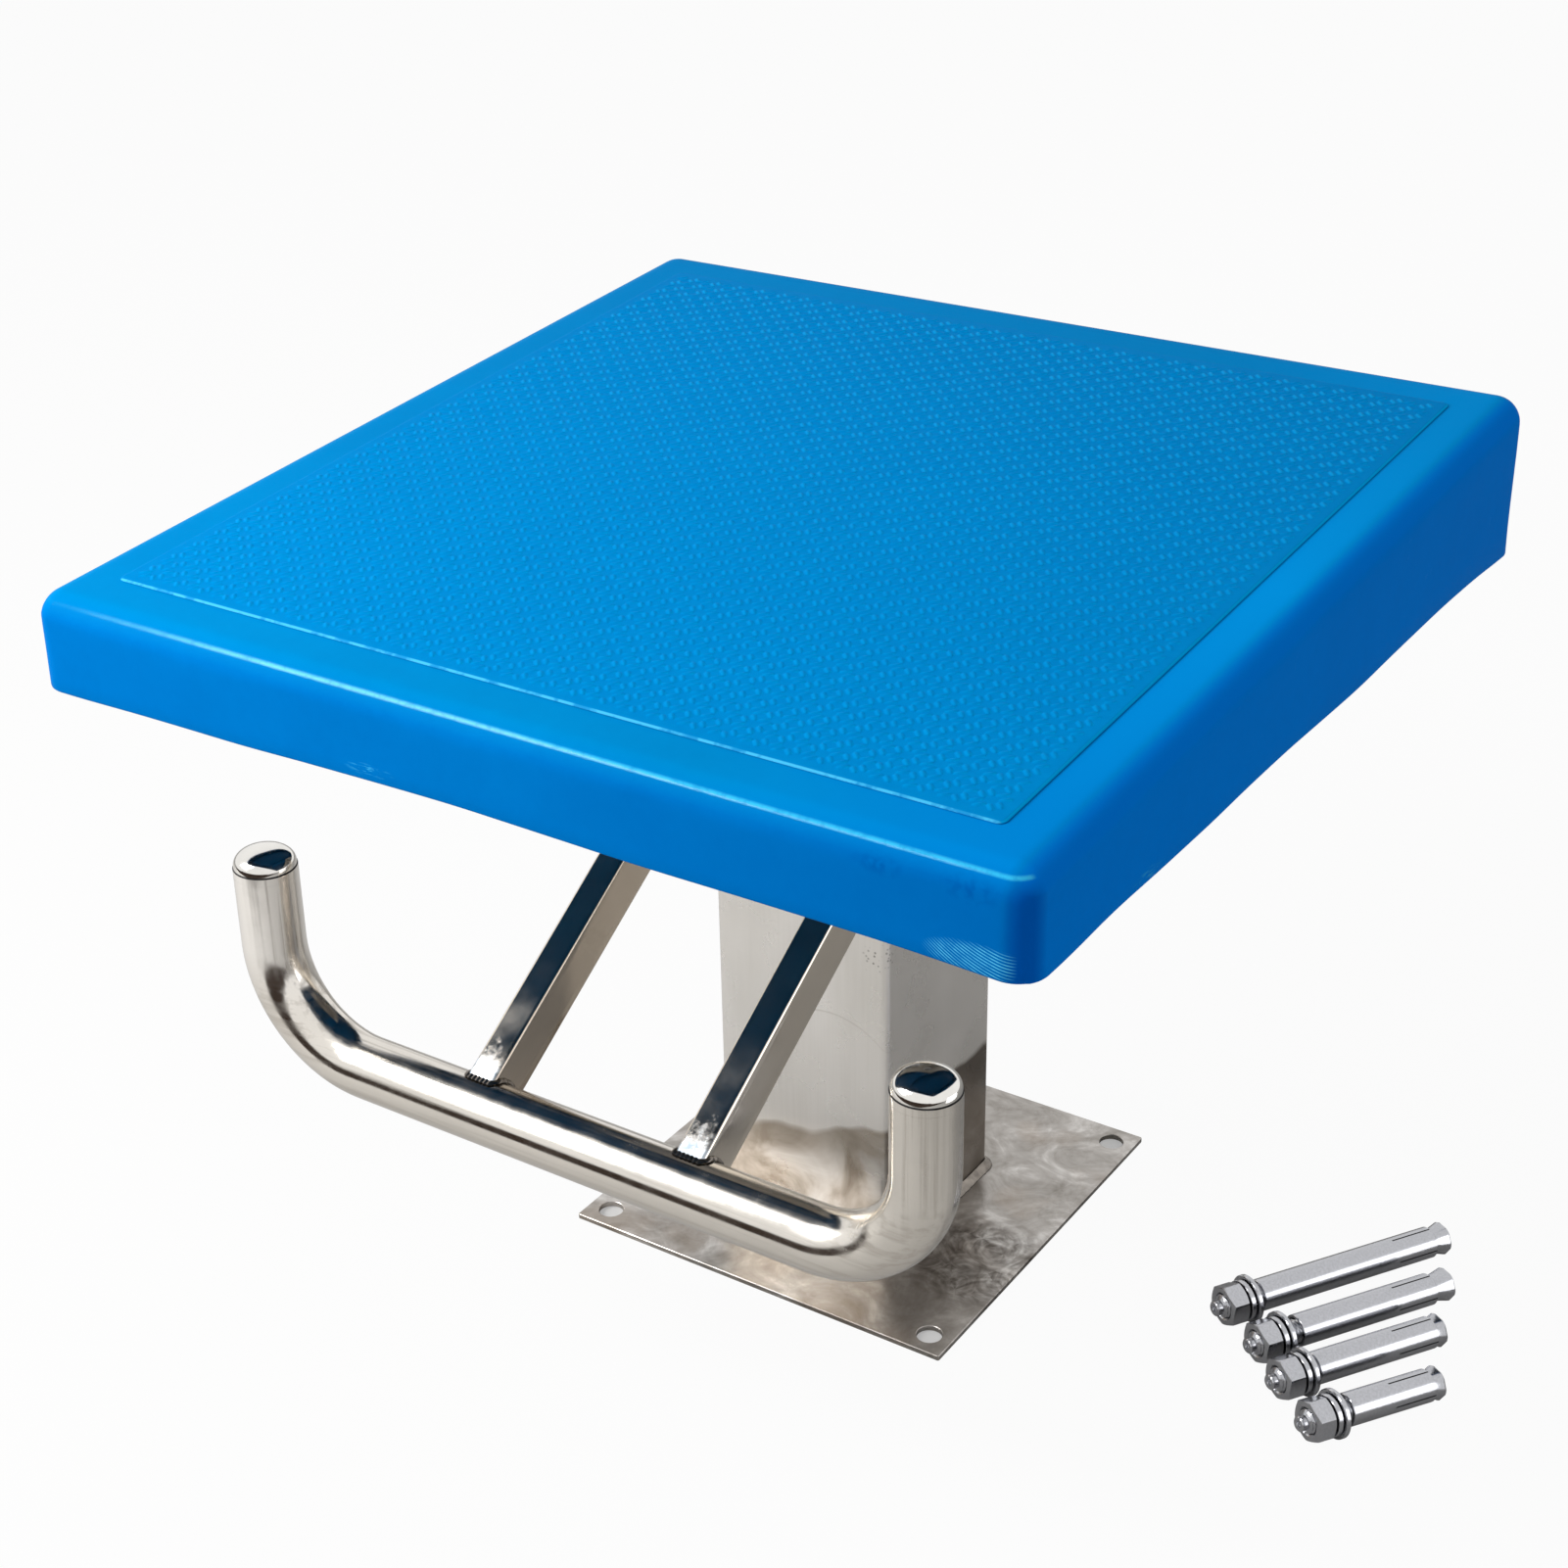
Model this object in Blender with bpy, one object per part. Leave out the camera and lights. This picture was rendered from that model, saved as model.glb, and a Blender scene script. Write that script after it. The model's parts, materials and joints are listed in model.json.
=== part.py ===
"""Pool diving platform: a fibreglass deck on a folded steel post, with a hand bar and four loose anchors.

Lengths are in metres. +Z is up and the water lies towards -Y. The origin is the centre of the base plate's
underside, so the ground is at z = 0.
"""

import math

import bmesh
import bpy
from mathutils import Matrix, Vector

# Clearance between pieces that touch, seat on each other or are welded together
GAP = 0.0003

# Base plate with a hole near each corner
PLATE_WIDTH = 0.220
PLATE_DEPTH = 0.220
PLATE_THICKNESS = 0.003
PLATE_HOLE_CLEARANCE = 0.001
PLATE_HOLE_INSET = 0.0125

# Post: a box folded from sheet, open at both ends
POST_WIDTH = 0.100
POST_DEPTH = 0.104
POST_FRONT_Y = -0.060
POST_SHEET = 0.0025
POST_FOLD_RADIUS = 0.004

# Deck: a shell with a level rim and a sloping top
DECK_WIDTH = 0.500
DECK_DEPTH = 0.488
DECK_FRONT_Y = -0.291
DECK_RIM_HEIGHT = 0.348
DECK_FRONT_THICKNESS = 0.043
DECK_BACK_THICKNESS = 0.079
DECK_WALL = 0.005
DECK_EDGE_RADIUS = 0.013
DECK_CORNER_EXTRA = 0.0005

# Anti-slip panel on the deck's top
PANEL_FRONT_MARGIN = 0.029
PANEL_SIDE_MARGIN = 0.028
PANEL_BACK_MARGIN = 0.031
PANEL_THICKNESS = 0.0012
PANEL_CORNER_RADIUS = 0.003
PANEL_CHAMFER = 0.0004

# Core board under the skin, and the two wedge rails between it and the head plate
BOARD_THICKNESS = 0.012
BOARD_EDGE_CLEARANCE = 0.002
RAIL_SPACING = 0.190
RAIL_WIDTH = 0.040
RAIL_END_CLEARANCE = 0.036

# Head plate, welded on the post and the struts inside the deck's hollow
HEAD_PLATE_RECESS = 0.012
HEAD_PLATE_THICKNESS = 0.006
HEAD_PLATE_SIDE_OVERHANG = 0.005
HEAD_PLATE_FRONT_OVERHANG = 0.062
HEAD_PLATE_BACK_OVERHANG = 0.012

# Deck bolts, their washers and the insert nuts in the board
BOLT_DIAMETER = 0.010
BOLT_TIP_CHAMFER = 0.0014
BOLT_ACROSS_FLATS = 0.017
BOLT_HEAD_HEIGHT = 0.0063
BOLT_PLATE_INSET = 0.030
BOLT_HOLE_CLEARANCE = 0.001
BOLT_WASHER_DIAMETER = 0.020
BOLT_WASHER_THICKNESS = 0.002
BOLT_SPRING_DIAMETER = 0.0175
BOLT_SPRING_THICKNESS = 0.0020
BOLT_SPRING_RISE = 0.0003
INSERT_WALL = 0.0017
INSERT_HEIGHT = 0.009
INSERT_RECESS = 0.0014

# Hand bar: a round tube bent in one upright plane
BAR_DIAMETER = 0.030
BAR_WALL = 0.0015
BAR_Y = -0.238
BAR_HEIGHT = 0.160
BAR_UPRIGHT_X = 0.177
BAR_BEND_RADIUS = 0.0535
BAR_STRAIGHT = 0.0355

# Domed end caps with a spigot in the tube
CAP_RIM = 0.002
CAP_DOME = 0.011
CAP_SPIGOT_LENGTH = 0.015
CAP_SPIGOT_CHAMFER = 0.001

# Struts: rectangular tubes from the hand bar past both sides of the post
STRUT_WIDTH = 0.015
STRUT_HEIGHT = 0.025
STRUT_WALL = 0.0015
STRUT_ANGLE = math.radians(32.6)

# Weld beads: their legs, and how far out their middles stand as a share of the leg
POST_BEAD = 0.004
STRUT_BEAD = 0.004
BAR_BEAD = 0.002
BEAD_FULLNESS = 0.6

# Expansion anchors that lie on the ground beside the platform, the longest first
ANCHOR_DIAMETER = 0.012
TIP_LENGTH = 0.005
STUB_DIAMETER = 0.0076
STUB_LENGTH = 0.0036
STUB_CHAMFER = 0.0006
NUT_ACROSS_FLATS = 0.019
NUT_HEIGHT = 0.010
NUT_CLEARANCE = 0.0005
NUT_COUNTERSINK = 0.0009
WASHER_DIAMETER = 0.024
WASHER_CLEARANCE = 0.001
WASHER_THICKNESS = 0.0025
SPRING_DIAMETER = 0.0205
SPRING_CLEARANCE = 0.0006
SPRING_THICKNESS = 0.0026
SPRING_RISE = 0.0008
THREAD_GAPS = (0.0040, 0.0070, 0.0035, 0.0050)
SLEEVE_LENGTHS = (0.106, 0.081, 0.070, 0.048)
SLEEVE_CLEARANCE = 0.0012
SLEEVE_WALL = 0.0014
SLEEVE_LIP = 0.0005
SLIT_LENGTH = 0.024
SLIT_WIDTH = 0.0008
CONE_LENGTHS = (0.0085, 0.0105, 0.0050, 0.0055)
CONE_FLARE = 0.001
CONE_FLAT_DEPTH = 0.0012
CONE_LIP = 0.001

# The row of anchors: their direction, the gaps between their washers and each one's shift along its axis
ANCHOR_DIRECTION = math.radians(59.5)
ANCHOR_ROW_DISTANCE = 0.165
ANCHOR_ROW_Y = 0.002
ANCHOR_ROW_GAPS = (0.007, 0.003, 0.007)
ANCHOR_SHIFTS = (0.0214, 0.0090, -0.0074, -0.0230)

# Facets round a full turn, steps in a rounded edge, and the angle from which an edge stays sharp
ROUND_SIDES = 24
WASHER_SIDES = 32
SMALL_SIDES = 12
FILLET_STEPS = 4
SHARP_ANGLE = math.radians(32)

# A hexagon's turned-off corners: the circle left on its face, as a share of its flats, and their slope
CHAMFER_CIRCLE = 0.96
CHAMFER_ANGLE = math.radians(30)
SPRING_OPENING = math.radians(16)

# Colour, roughness and metallic value of each kind of surface
BLUE_FIBREGLASS = ((0.0, 0.26, 0.66), 0.35, 0.0)
COATED_TIMBER = ((0.0, 0.09, 0.25), 0.45, 0.0)
COATED_PLYWOOD = ((0.0, 0.08, 0.22), 0.45, 0.0)
SATIN_STEEL = ((0.62, 0.59, 0.55), 0.38, 1.0)
GROUND_STEEL = ((0.50, 0.47, 0.43), 0.45, 1.0)
POLISHED_STEEL = ((0.78, 0.76, 0.73), 0.08, 1.0)
WELD_METAL = ((0.48, 0.42, 0.36), 0.45, 1.0)
ZINC_PLATE = ((0.62, 0.64, 0.66), 0.25, 1.0)

# Places that follow from the sizes above
DECK_SLOPE = (DECK_BACK_THICKNESS - DECK_FRONT_THICKNESS) / DECK_DEPTH
DECK_BACK_Y = DECK_FRONT_Y + DECK_DEPTH
DECK_INNER_RADIUS = max(DECK_EDGE_RADIUS - DECK_WALL, GAP)
DECK_CORNER_RADIUS = DECK_EDGE_RADIUS + DECK_CORNER_EXTRA
HEAD_PLATE_BOTTOM = DECK_RIM_HEIGHT + HEAD_PLATE_RECESS
HEAD_PLATE_TOP = HEAD_PLATE_BOTTOM + HEAD_PLATE_THICKNESS
POST_CENTRE_Y = POST_FRONT_Y + POST_DEPTH / 2
POST_BOTTOM = PLATE_THICKNESS + GAP
POST_TOP = HEAD_PLATE_BOTTOM - GAP
BAR_RADIUS = BAR_DIAMETER / 2
BAR_TUBE_TOP = BAR_HEIGHT + BAR_BEND_RADIUS + BAR_STRAIGHT
STRUT_X = POST_WIDTH / 2 + GAP + STRUT_WIDTH / 2
STRUT_REACH = (POST_TOP - BAR_HEIGHT + STRUT_HEIGHT / 2 / math.cos(STRUT_ANGLE)) / math.tan(STRUT_ANGLE)
HEAD_PLATE_FRONT_Y = POST_FRONT_Y - HEAD_PLATE_FRONT_OVERHANG
HEAD_PLATE_BACK_Y = BAR_Y + STRUT_REACH + HEAD_PLATE_BACK_OVERHANG
RAIL_FRONT_Y = DECK_FRONT_Y + DECK_WALL + RAIL_END_CLEARANCE
RAIL_BACK_Y = DECK_BACK_Y - DECK_WALL - RAIL_END_CLEARANCE
SPRING_HEIGHT = SPRING_THICKNESS + SPRING_RISE
WASHER_FACE = TIP_LENGTH + NUT_HEIGHT + GAP + SPRING_HEIGHT + GAP + WASHER_THICKNESS
SLEEVE_BORE = ANCHOR_DIAMETER + SLEEVE_CLEARANCE
SLEEVE_DIAMETER = SLEEVE_BORE + 2 * SLEEVE_WALL
CONE_DIAMETER = SLEEVE_DIAMETER + CONE_FLARE
CONE_FLATS = CONE_DIAMETER - CONE_FLAT_DEPTH
INSERT_DIAMETER = BOLT_DIAMETER + 2 * (GAP + INSERT_WALL)


def deck_top(y):
    """Height of the deck's sloping top at this place."""
    return DECK_RIM_HEIGHT + DECK_FRONT_THICKNESS + DECK_SLOPE * (y - DECK_FRONT_Y)


def board_top(y):
    return deck_top(y) - DECK_WALL - GAP


def board_bottom(y):
    return board_top(y) - BOARD_THICKNESS


# Building blocks

def surface(name, look):
    colour, roughness, metallic = look
    material = bpy.data.materials.new(name)
    material.use_nodes = True
    shader = material.node_tree.nodes["Principled BSDF"]
    shader.inputs["Base Color"].default_value = (*colour, 1.0)
    shader.inputs["Roughness"].default_value = roughness
    shader.inputs["Metallic"].default_value = metallic
    material.diffuse_color = (*colour, 1.0)
    return material


def body_from_rings(name, rings, look, ring_of_rings=False, smooth=True, holder=None):
    """One closed body through rings of equal point counts, capped at both ends or closed on itself."""
    mesh = bpy.data.meshes.new(name)
    body = bmesh.new()
    rows = [[body.verts.new(point) for point in ring] for ring in rings]
    pairs = list(zip(rows, rows[1:]))
    if ring_of_rings:
        pairs.append((rows[-1], rows[0]))
    else:
        body.faces.new(rows[0])
        body.faces.new(rows[-1])
    count = len(rings[0])
    for low, high in pairs:
        for index in range(count):
            after = (index + 1) % count
            body.faces.new((low[index], low[after], high[after], high[index]))
    bmesh.ops.recalc_face_normals(body, faces=body.faces)
    body.to_mesh(mesh)
    body.free()
    if smooth:
        mesh.shade_smooth()
        mesh.set_sharp_from_angle(angle=SHARP_ANGLE)
    thing = bpy.data.objects.new(name, mesh)
    bpy.context.scene.collection.objects.link(thing)
    thing.parent = holder
    if look:
        mesh.materials.append(surface(name, look))
    return thing


def circle(radius, height, sides=ROUND_SIDES):
    return [
        (radius * math.cos(math.tau * step / sides), radius * math.sin(math.tau * step / sides), height)
        for step in range(sides)
    ]


def rounded_rectangle(half_width, half_depth, radius, centre_y=0.0, steps=FILLET_STEPS):
    """Points (x, y) round a rectangle whose corners are arcs."""
    points = []
    for quarter, (side_x, side_y) in enumerate(((1, 1), (-1, 1), (-1, -1), (1, -1))):
        for step in range(steps + 1):
            angle = math.pi / 2 * (quarter + step / steps)
            x = side_x * (half_width - radius) + radius * math.cos(angle)
            y = side_y * (half_depth - radius) + radius * math.sin(angle)
            points.append((x, y + centre_y))
    return points


def at_height(outline, height):
    """Lifts an outline to one height, or to a height that depends on y."""
    if callable(height):
        return [(x, y, height(y)) for x, y in outline]
    return [(x, y, height) for x, y in outline]


def rectangle(left, right, front, back):
    return [(left, front), (right, front), (right, back), (left, back)]


def hexagon_radius(across_flats, angle):
    """Distance from the centre to a hexagon's side in this direction, with a corner at angle zero."""
    from_flat = (angle % math.radians(60)) - math.radians(30)
    return across_flats / 2 / math.cos(from_flat)


def hexagon_rings(across_flats, bottom, top, sides):
    """Rings of a hexagon whose corners are turned off at both ends, as on a nut or a bolt's head."""
    flat_circle = across_flats / 2 * CHAMFER_CIRCLE
    angles = [math.tau * step / sides for step in range(sides)]
    radii = [hexagon_radius(across_flats, angle) for angle in angles]
    drops = [(radius - flat_circle) * math.tan(CHAMFER_ANGLE) for radius in radii]
    low = [
        (radius * math.cos(angle), radius * math.sin(angle), bottom + drop)
        for radius, angle, drop in zip(radii, angles, drops)
    ]
    high = [
        (radius * math.cos(angle), radius * math.sin(angle), top - drop)
        for radius, angle, drop in zip(radii, angles, drops)
    ]
    return [circle(flat_circle, bottom, sides), low, high, circle(flat_circle, top, sides)]


def flat_washer(name, diameter, bore, bottom, thickness, look, sides, holder):
    rings = [
        circle(diameter / 2, bottom, sides),
        circle(diameter / 2, bottom + thickness, sides),
        circle(bore / 2, bottom + thickness, sides),
        circle(bore / 2, bottom, sides),
    ]
    return body_from_rings(name, rings, look, ring_of_rings=True, holder=holder)


def spring_washer(name, diameter, bore, bottom, thickness, rise, look, sides, holder):
    """A split ring whose ends stand apart by the rise."""
    rings = []
    for step in range(sides + 1):
        share = step / sides
        angle = SPRING_OPENING / 2 + (math.tau - SPRING_OPENING) * share
        low = bottom + rise * share
        corners = (
            (bore / 2, low),
            (diameter / 2, low),
            (diameter / 2, low + thickness),
            (bore / 2, low + thickness),
        )
        rings.append([(radius * math.cos(angle), radius * math.sin(angle), z) for radius, z in corners])
    return body_from_rings(name, rings, look, holder=holder)


def hide_cutter(cutter):
    cutter.hide_render = True
    cutter.display_type = "WIRE"


def cut(thing, cutter, operation="DIFFERENCE"):
    modifier = thing.modifiers.new(cutter.name, "BOOLEAN")
    modifier.operation = operation
    modifier.object = cutter
    modifier.solver = "EXACT"


def drill(thing, x, y, diameter, bottom, top, sides=SMALL_SIDES):
    """Cuts a vertical hole."""
    name = f"{thing.name}_hole_{len(thing.modifiers) + 1}"
    ends = [circle(diameter / 2, height, sides) for height in (bottom, top)]
    cutter = body_from_rings(name, ends, None)
    cutter.location = (x, y, 0.0)
    hide_cutter(cutter)
    cut(thing, cutter)


def bar_cutter(name, radius):
    """A level cylinder on the hand bar's axis."""
    half = BAR_UPRIGHT_X
    rings = [
        [(x, BAR_Y + px, BAR_HEIGHT + pz) for px, pz, _ in circle(radius, 0.0, WASHER_SIDES)]
        for x in (-half, half)
    ]
    cutter = body_from_rings(name, rings, None)
    hide_cutter(cutter)
    return cutter


# Sheet steel parts

def make_base_plate():
    left, right = -PLATE_WIDTH / 2, PLATE_WIDTH / 2
    front, back = -PLATE_DEPTH / 2, PLATE_DEPTH / 2
    outline = rectangle(left, right, front, back)
    faces = [at_height(outline, height) for height in (0.0, PLATE_THICKNESS)]
    plate = body_from_rings("base_plate", faces, GROUND_STEEL, smooth=False)
    hole = ANCHOR_DIAMETER + PLATE_HOLE_CLEARANCE
    for x in (left + PLATE_HOLE_INSET, right - PLATE_HOLE_INSET):
        for y in (front + PLATE_HOLE_INSET, back - PLATE_HOLE_INSET):
            drill(plate, x, y, hole, -PLATE_THICKNESS, 2 * PLATE_THICKNESS, ROUND_SIDES)


def post_outline(offset):
    """The post's outline, moved outwards by the offset."""
    return rounded_rectangle(
        POST_WIDTH / 2 + offset, POST_DEPTH / 2 + offset, POST_FOLD_RADIUS + offset, POST_CENTRE_Y
    )


def make_post():
    outer = post_outline(0.0)
    inner = post_outline(-POST_SHEET)
    rings = [
        at_height(outer, POST_BOTTOM),
        at_height(outer, POST_TOP),
        at_height(inner, POST_TOP),
        at_height(inner, POST_BOTTOM),
    ]
    body_from_rings("post", rings, SATIN_STEEL, ring_of_rings=True)


def make_base_weld():
    """A bead in the corner between the post's foot and the base plate."""
    section = (
        (GAP, 0.0),
        (GAP + POST_BEAD, 0.0),
        (GAP + POST_BEAD * BEAD_FULLNESS, POST_BEAD * BEAD_FULLNESS),
        (GAP, POST_BEAD),
    )
    rings = [at_height(post_outline(out), POST_BOTTOM + up) for out, up in section]
    body_from_rings("base_weld", rings, WELD_METAL, ring_of_rings=True)


def make_head_plate():
    half = (RAIL_SPACING + RAIL_WIDTH) / 2 + HEAD_PLATE_SIDE_OVERHANG
    outline = rectangle(-half, half, HEAD_PLATE_FRONT_Y, HEAD_PLATE_BACK_Y)
    faces = [at_height(outline, height) for height in (HEAD_PLATE_BOTTOM, HEAD_PLATE_TOP)]
    plate = body_from_rings("head_plate", faces, SATIN_STEEL, smooth=False)
    for x, y, _ in bolt_places():
        drill(
            plate, x, y, BOLT_DIAMETER + BOLT_HOLE_CLEARANCE, HEAD_PLATE_BOTTOM - HEAD_PLATE_THICKNESS,
            HEAD_PLATE_TOP + HEAD_PLATE_THICKNESS,
        )


def make_head_welds():
    """Two beads under the head plate, along the post's front and back."""
    half = POST_WIDTH / 2 - POST_FOLD_RADIUS
    for name, face, outwards in (
        ("head_weld_front", POST_FRONT_Y, -1),
        ("head_weld_back", POST_FRONT_Y + POST_DEPTH, 1),
    ):
        near = face + outwards * GAP
        corners = (
            (near, POST_TOP),
            (near + outwards * POST_BEAD, POST_TOP),
            (near + outwards * POST_BEAD * BEAD_FULLNESS, POST_TOP - POST_BEAD * BEAD_FULLNESS),
            (near, POST_TOP - POST_BEAD),
        )
        rings = [[(x, y, z) for y, z in corners] for x in (-half, half)]
        body_from_rings(name, rings, WELD_METAL, smooth=False)


# Hand bar, its caps and its struts

def bar_stations():
    """Places along the bar's centre line, each with its outward normal, as (x, z, normal x, normal z)."""
    bend_x = BAR_UPRIGHT_X - BAR_BEND_RADIUS
    bend_z = BAR_HEIGHT + BAR_BEND_RADIUS
    steps = 2 * FILLET_STEPS
    left = [(-BAR_UPRIGHT_X, BAR_TUBE_TOP, -1.0, 0.0)]
    for step in range(steps + 1):
        angle = math.pi / 2 * step / steps
        normal = (-math.cos(angle), -math.sin(angle))
        left.append((-bend_x + BAR_BEND_RADIUS * normal[0], bend_z + BAR_BEND_RADIUS * normal[1], *normal))
    right = [(-x, z, -normal_x, normal_z) for x, z, normal_x, normal_z in reversed(left)]
    return left + right


def make_hand_bar():
    def ring(station, radius):
        x, z, normal_x, normal_z = station
        return [
            (x + normal_x * out, BAR_Y + across, z + normal_z * out)
            for out, across, _ in circle(radius, 0.0)
        ]

    stations = bar_stations()
    outer = [ring(station, BAR_RADIUS) for station in stations]
    inner = [ring(station, BAR_RADIUS - BAR_WALL) for station in reversed(stations)]
    body_from_rings("hand_bar", outer + inner, POLISHED_STEEL, ring_of_rings=True)


def make_end_caps():
    spigot = BAR_RADIUS - BAR_WALL - GAP
    rings = [
        circle(spigot - CAP_SPIGOT_CHAMFER, -CAP_SPIGOT_LENGTH),
        circle(spigot, -CAP_SPIGOT_LENGTH + CAP_SPIGOT_CHAMFER),
        circle(spigot, GAP),
        circle(BAR_RADIUS, GAP),
    ]
    dome_steps = FILLET_STEPS + 2
    for step in range(dome_steps):
        angle = math.pi / 2 * step / dome_steps
        rings.append(circle(BAR_RADIUS * math.cos(angle), GAP + CAP_RIM + CAP_DOME * math.sin(angle)))
    for name, side in (("end_cap_left", -1), ("end_cap_right", 1)):
        cap = body_from_rings(name, rings, POLISHED_STEEL)
        cap.location = (side * BAR_UPRIGHT_X, BAR_Y, BAR_TUBE_TOP)


def strut_point(along, across, above):
    """A point given along the strut's axis from the bar's axis, across it, and square to it upwards."""
    y = BAR_Y + along * math.cos(STRUT_ANGLE) - above * math.sin(STRUT_ANGLE)
    z = BAR_HEIGHT + along * math.sin(STRUT_ANGLE) + above * math.cos(STRUT_ANGLE)
    return (across, y, z)


def strut_ring(along, centre_x, half_width, half_height):
    corners = ((-1, -1), (1, -1), (1, 1), (-1, 1))
    return [strut_point(along, centre_x + side * half_width, up * half_height) for side, up in corners]


def rectangular_tube(name, centre_x, start, end, outer, inner, look):
    """A rectangular tube along the strut's axis; outer and inner are half widths and half heights."""
    rings = [
        strut_ring(start, centre_x, *outer),
        strut_ring(end, centre_x, *outer),
        strut_ring(end, centre_x, *inner),
        strut_ring(start, centre_x, *inner),
    ]
    return body_from_rings(name, rings, look, ring_of_rings=True, smooth=False)


def make_struts():
    half_width, half_height = STRUT_WIDTH / 2, STRUT_HEIGHT / 2
    past_plate = (HEAD_PLATE_TOP - BAR_HEIGHT) / math.sin(STRUT_ANGLE) + STRUT_HEIGHT
    above_post = [
        at_height(rectangle(-POST_WIDTH, POST_WIDTH, POST_FRONT_Y, DECK_BACK_Y), height)
        for height in (POST_TOP, POST_TOP + DECK_BACK_THICKNESS)
    ]
    top_cutter = body_from_rings("strut_top_cutter", above_post, None, smooth=False)
    hide_cutter(top_cutter)
    cope = bar_cutter("strut_cope", BAR_RADIUS + GAP)
    bead_limit = bar_cutter("bead_limit", BAR_RADIUS + GAP + BAR_BEAD)
    for side_name, side in (("left", -1), ("right", 1)):
        centre_x = side * STRUT_X
        strut = rectangular_tube(
            f"strut_{side_name}", centre_x, 0.0, past_plate, (half_width, half_height),
            (half_width - STRUT_WALL, half_height - STRUT_WALL), POLISHED_STEEL,
        )
        cut(strut, cope)
        cut(strut, top_cutter)
        bead_inner = (half_width + GAP, half_height + GAP)
        bead_outer = (half_width + GAP + BAR_BEAD, half_height + GAP + BAR_BEAD)
        bead = rectangular_tube(
            f"bar_weld_{side_name}", centre_x, BAR_BEAD, BAR_RADIUS + 2 * BAR_BEAD, bead_outer, bead_inner,
            WELD_METAL,
        )
        cut(bead, bead_limit, "INTERSECT")
        cut(bead, cope)


def make_strut_welds():
    """A bead under each strut, along the post's side."""
    start = (POST_FRONT_Y - BAR_Y) / math.cos(STRUT_ANGLE)
    length = (POST_DEPTH - 4 * STRUT_BEAD) / math.cos(STRUT_ANGLE)
    under = -STRUT_HEIGHT / 2 - GAP
    for side_name, side in (("left", -1), ("right", 1)):
        face = side * (POST_WIDTH / 2 + GAP)
        corners = (
            (face, under),
            (face + side * STRUT_BEAD, under),
            (face + side * STRUT_BEAD * BEAD_FULLNESS, under - STRUT_BEAD * BEAD_FULLNESS),
            (face, under - STRUT_BEAD),
        )
        rings = [[strut_point(along, x, above) for x, above in corners] for along in (start, start + length)]
        body_from_rings(f"strut_weld_{side_name}", rings, WELD_METAL, smooth=False)


# Deck, panel, board and rails

def deck_outline(inset):
    return rounded_rectangle(
        DECK_WIDTH / 2 - inset, DECK_DEPTH / 2 - inset, DECK_CORNER_RADIUS - inset,
        DECK_FRONT_Y + DECK_DEPTH / 2,
    )


def skin_rings(inset, drop, radius):
    """Rings up one face of the shell, from its rim over the rounded edge to its top."""
    rings = [at_height(deck_outline(inset), DECK_RIM_HEIGHT)]
    for step in range(FILLET_STEPS + 1):
        angle = math.pi / 2 * step / FILLET_STEPS
        outline = deck_outline(inset + radius * (1 - math.cos(angle)))
        below = drop + radius * (1 - math.sin(angle))
        rings.append([(x, y, deck_top(y) - below) for x, y in outline])
    return rings


def make_deck_shell():
    outside = skin_rings(0.0, 0.0, DECK_EDGE_RADIUS)
    inside = skin_rings(DECK_WALL, DECK_WALL, DECK_INNER_RADIUS)
    body_from_rings("deck_shell", inside[::-1] + outside, BLUE_FIBREGLASS)


def make_tread_panel():
    width = DECK_WIDTH - 2 * PANEL_SIDE_MARGIN
    depth = DECK_DEPTH - PANEL_FRONT_MARGIN - PANEL_BACK_MARGIN
    centre_y = DECK_FRONT_Y + PANEL_FRONT_MARGIN + depth / 2

    def ring(inset, rise):
        outline = rounded_rectangle(
            width / 2 - inset, depth / 2 - inset, PANEL_CORNER_RADIUS - inset, centre_y, steps=2
        )
        return at_height(outline, lambda y: deck_top(y) + GAP + rise)

    rings = [ring(0.0, 0.0), ring(0.0, PANEL_THICKNESS - PANEL_CHAMFER), ring(PANEL_CHAMFER, PANEL_THICKNESS)]
    body_from_rings("tread_panel", rings, BLUE_FIBREGLASS, smooth=False)


def bolt_places():
    """Each deck bolt's x and y, and the number in its name."""
    rows = (HEAD_PLATE_FRONT_Y + BOLT_PLATE_INSET, HEAD_PLATE_BACK_Y - BOLT_PLATE_INSET)
    places = [(side * RAIL_SPACING / 2, y) for side in (-1, 1) for y in rows]
    return [(x, y, number) for number, (x, y) in enumerate(places, 1)]


def make_core_board():
    inset = DECK_WALL + DECK_INNER_RADIUS + BOARD_EDGE_CLEARANCE
    outline = rectangle(
        inset - DECK_WIDTH / 2, DECK_WIDTH / 2 - inset, DECK_FRONT_Y + inset, DECK_BACK_Y - inset
    )
    rings = [at_height(outline, board_bottom), at_height(outline, board_top)]
    board = body_from_rings("core_board", rings, COATED_PLYWOOD, smooth=False)
    for x, y, _ in bolt_places():
        low = board_bottom(y) - BOARD_THICKNESS
        drill(board, x, y, INSERT_DIAMETER + 2 * GAP, low, low + 3 * BOARD_THICKNESS)


def make_rails():
    for side_name, side in (("left", -1), ("right", 1)):
        centre_x = side * RAIL_SPACING / 2
        outline = rectangle(centre_x - RAIL_WIDTH / 2, centre_x + RAIL_WIDTH / 2, RAIL_FRONT_Y, RAIL_BACK_Y)
        top = at_height(outline, lambda y: board_bottom(y) - GAP)
        rings = [at_height(outline, HEAD_PLATE_TOP + GAP), top]
        rail = body_from_rings(f"rail_{side_name}", rings, COATED_TIMBER, smooth=False)
        for x, y, _ in bolt_places():
            if x * side > 0:
                end = board_bottom(y) + BOARD_THICKNESS
                drill(rail, x, y, BOLT_DIAMETER + BOLT_HOLE_CLEARANCE, HEAD_PLATE_BOTTOM, end)


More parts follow.
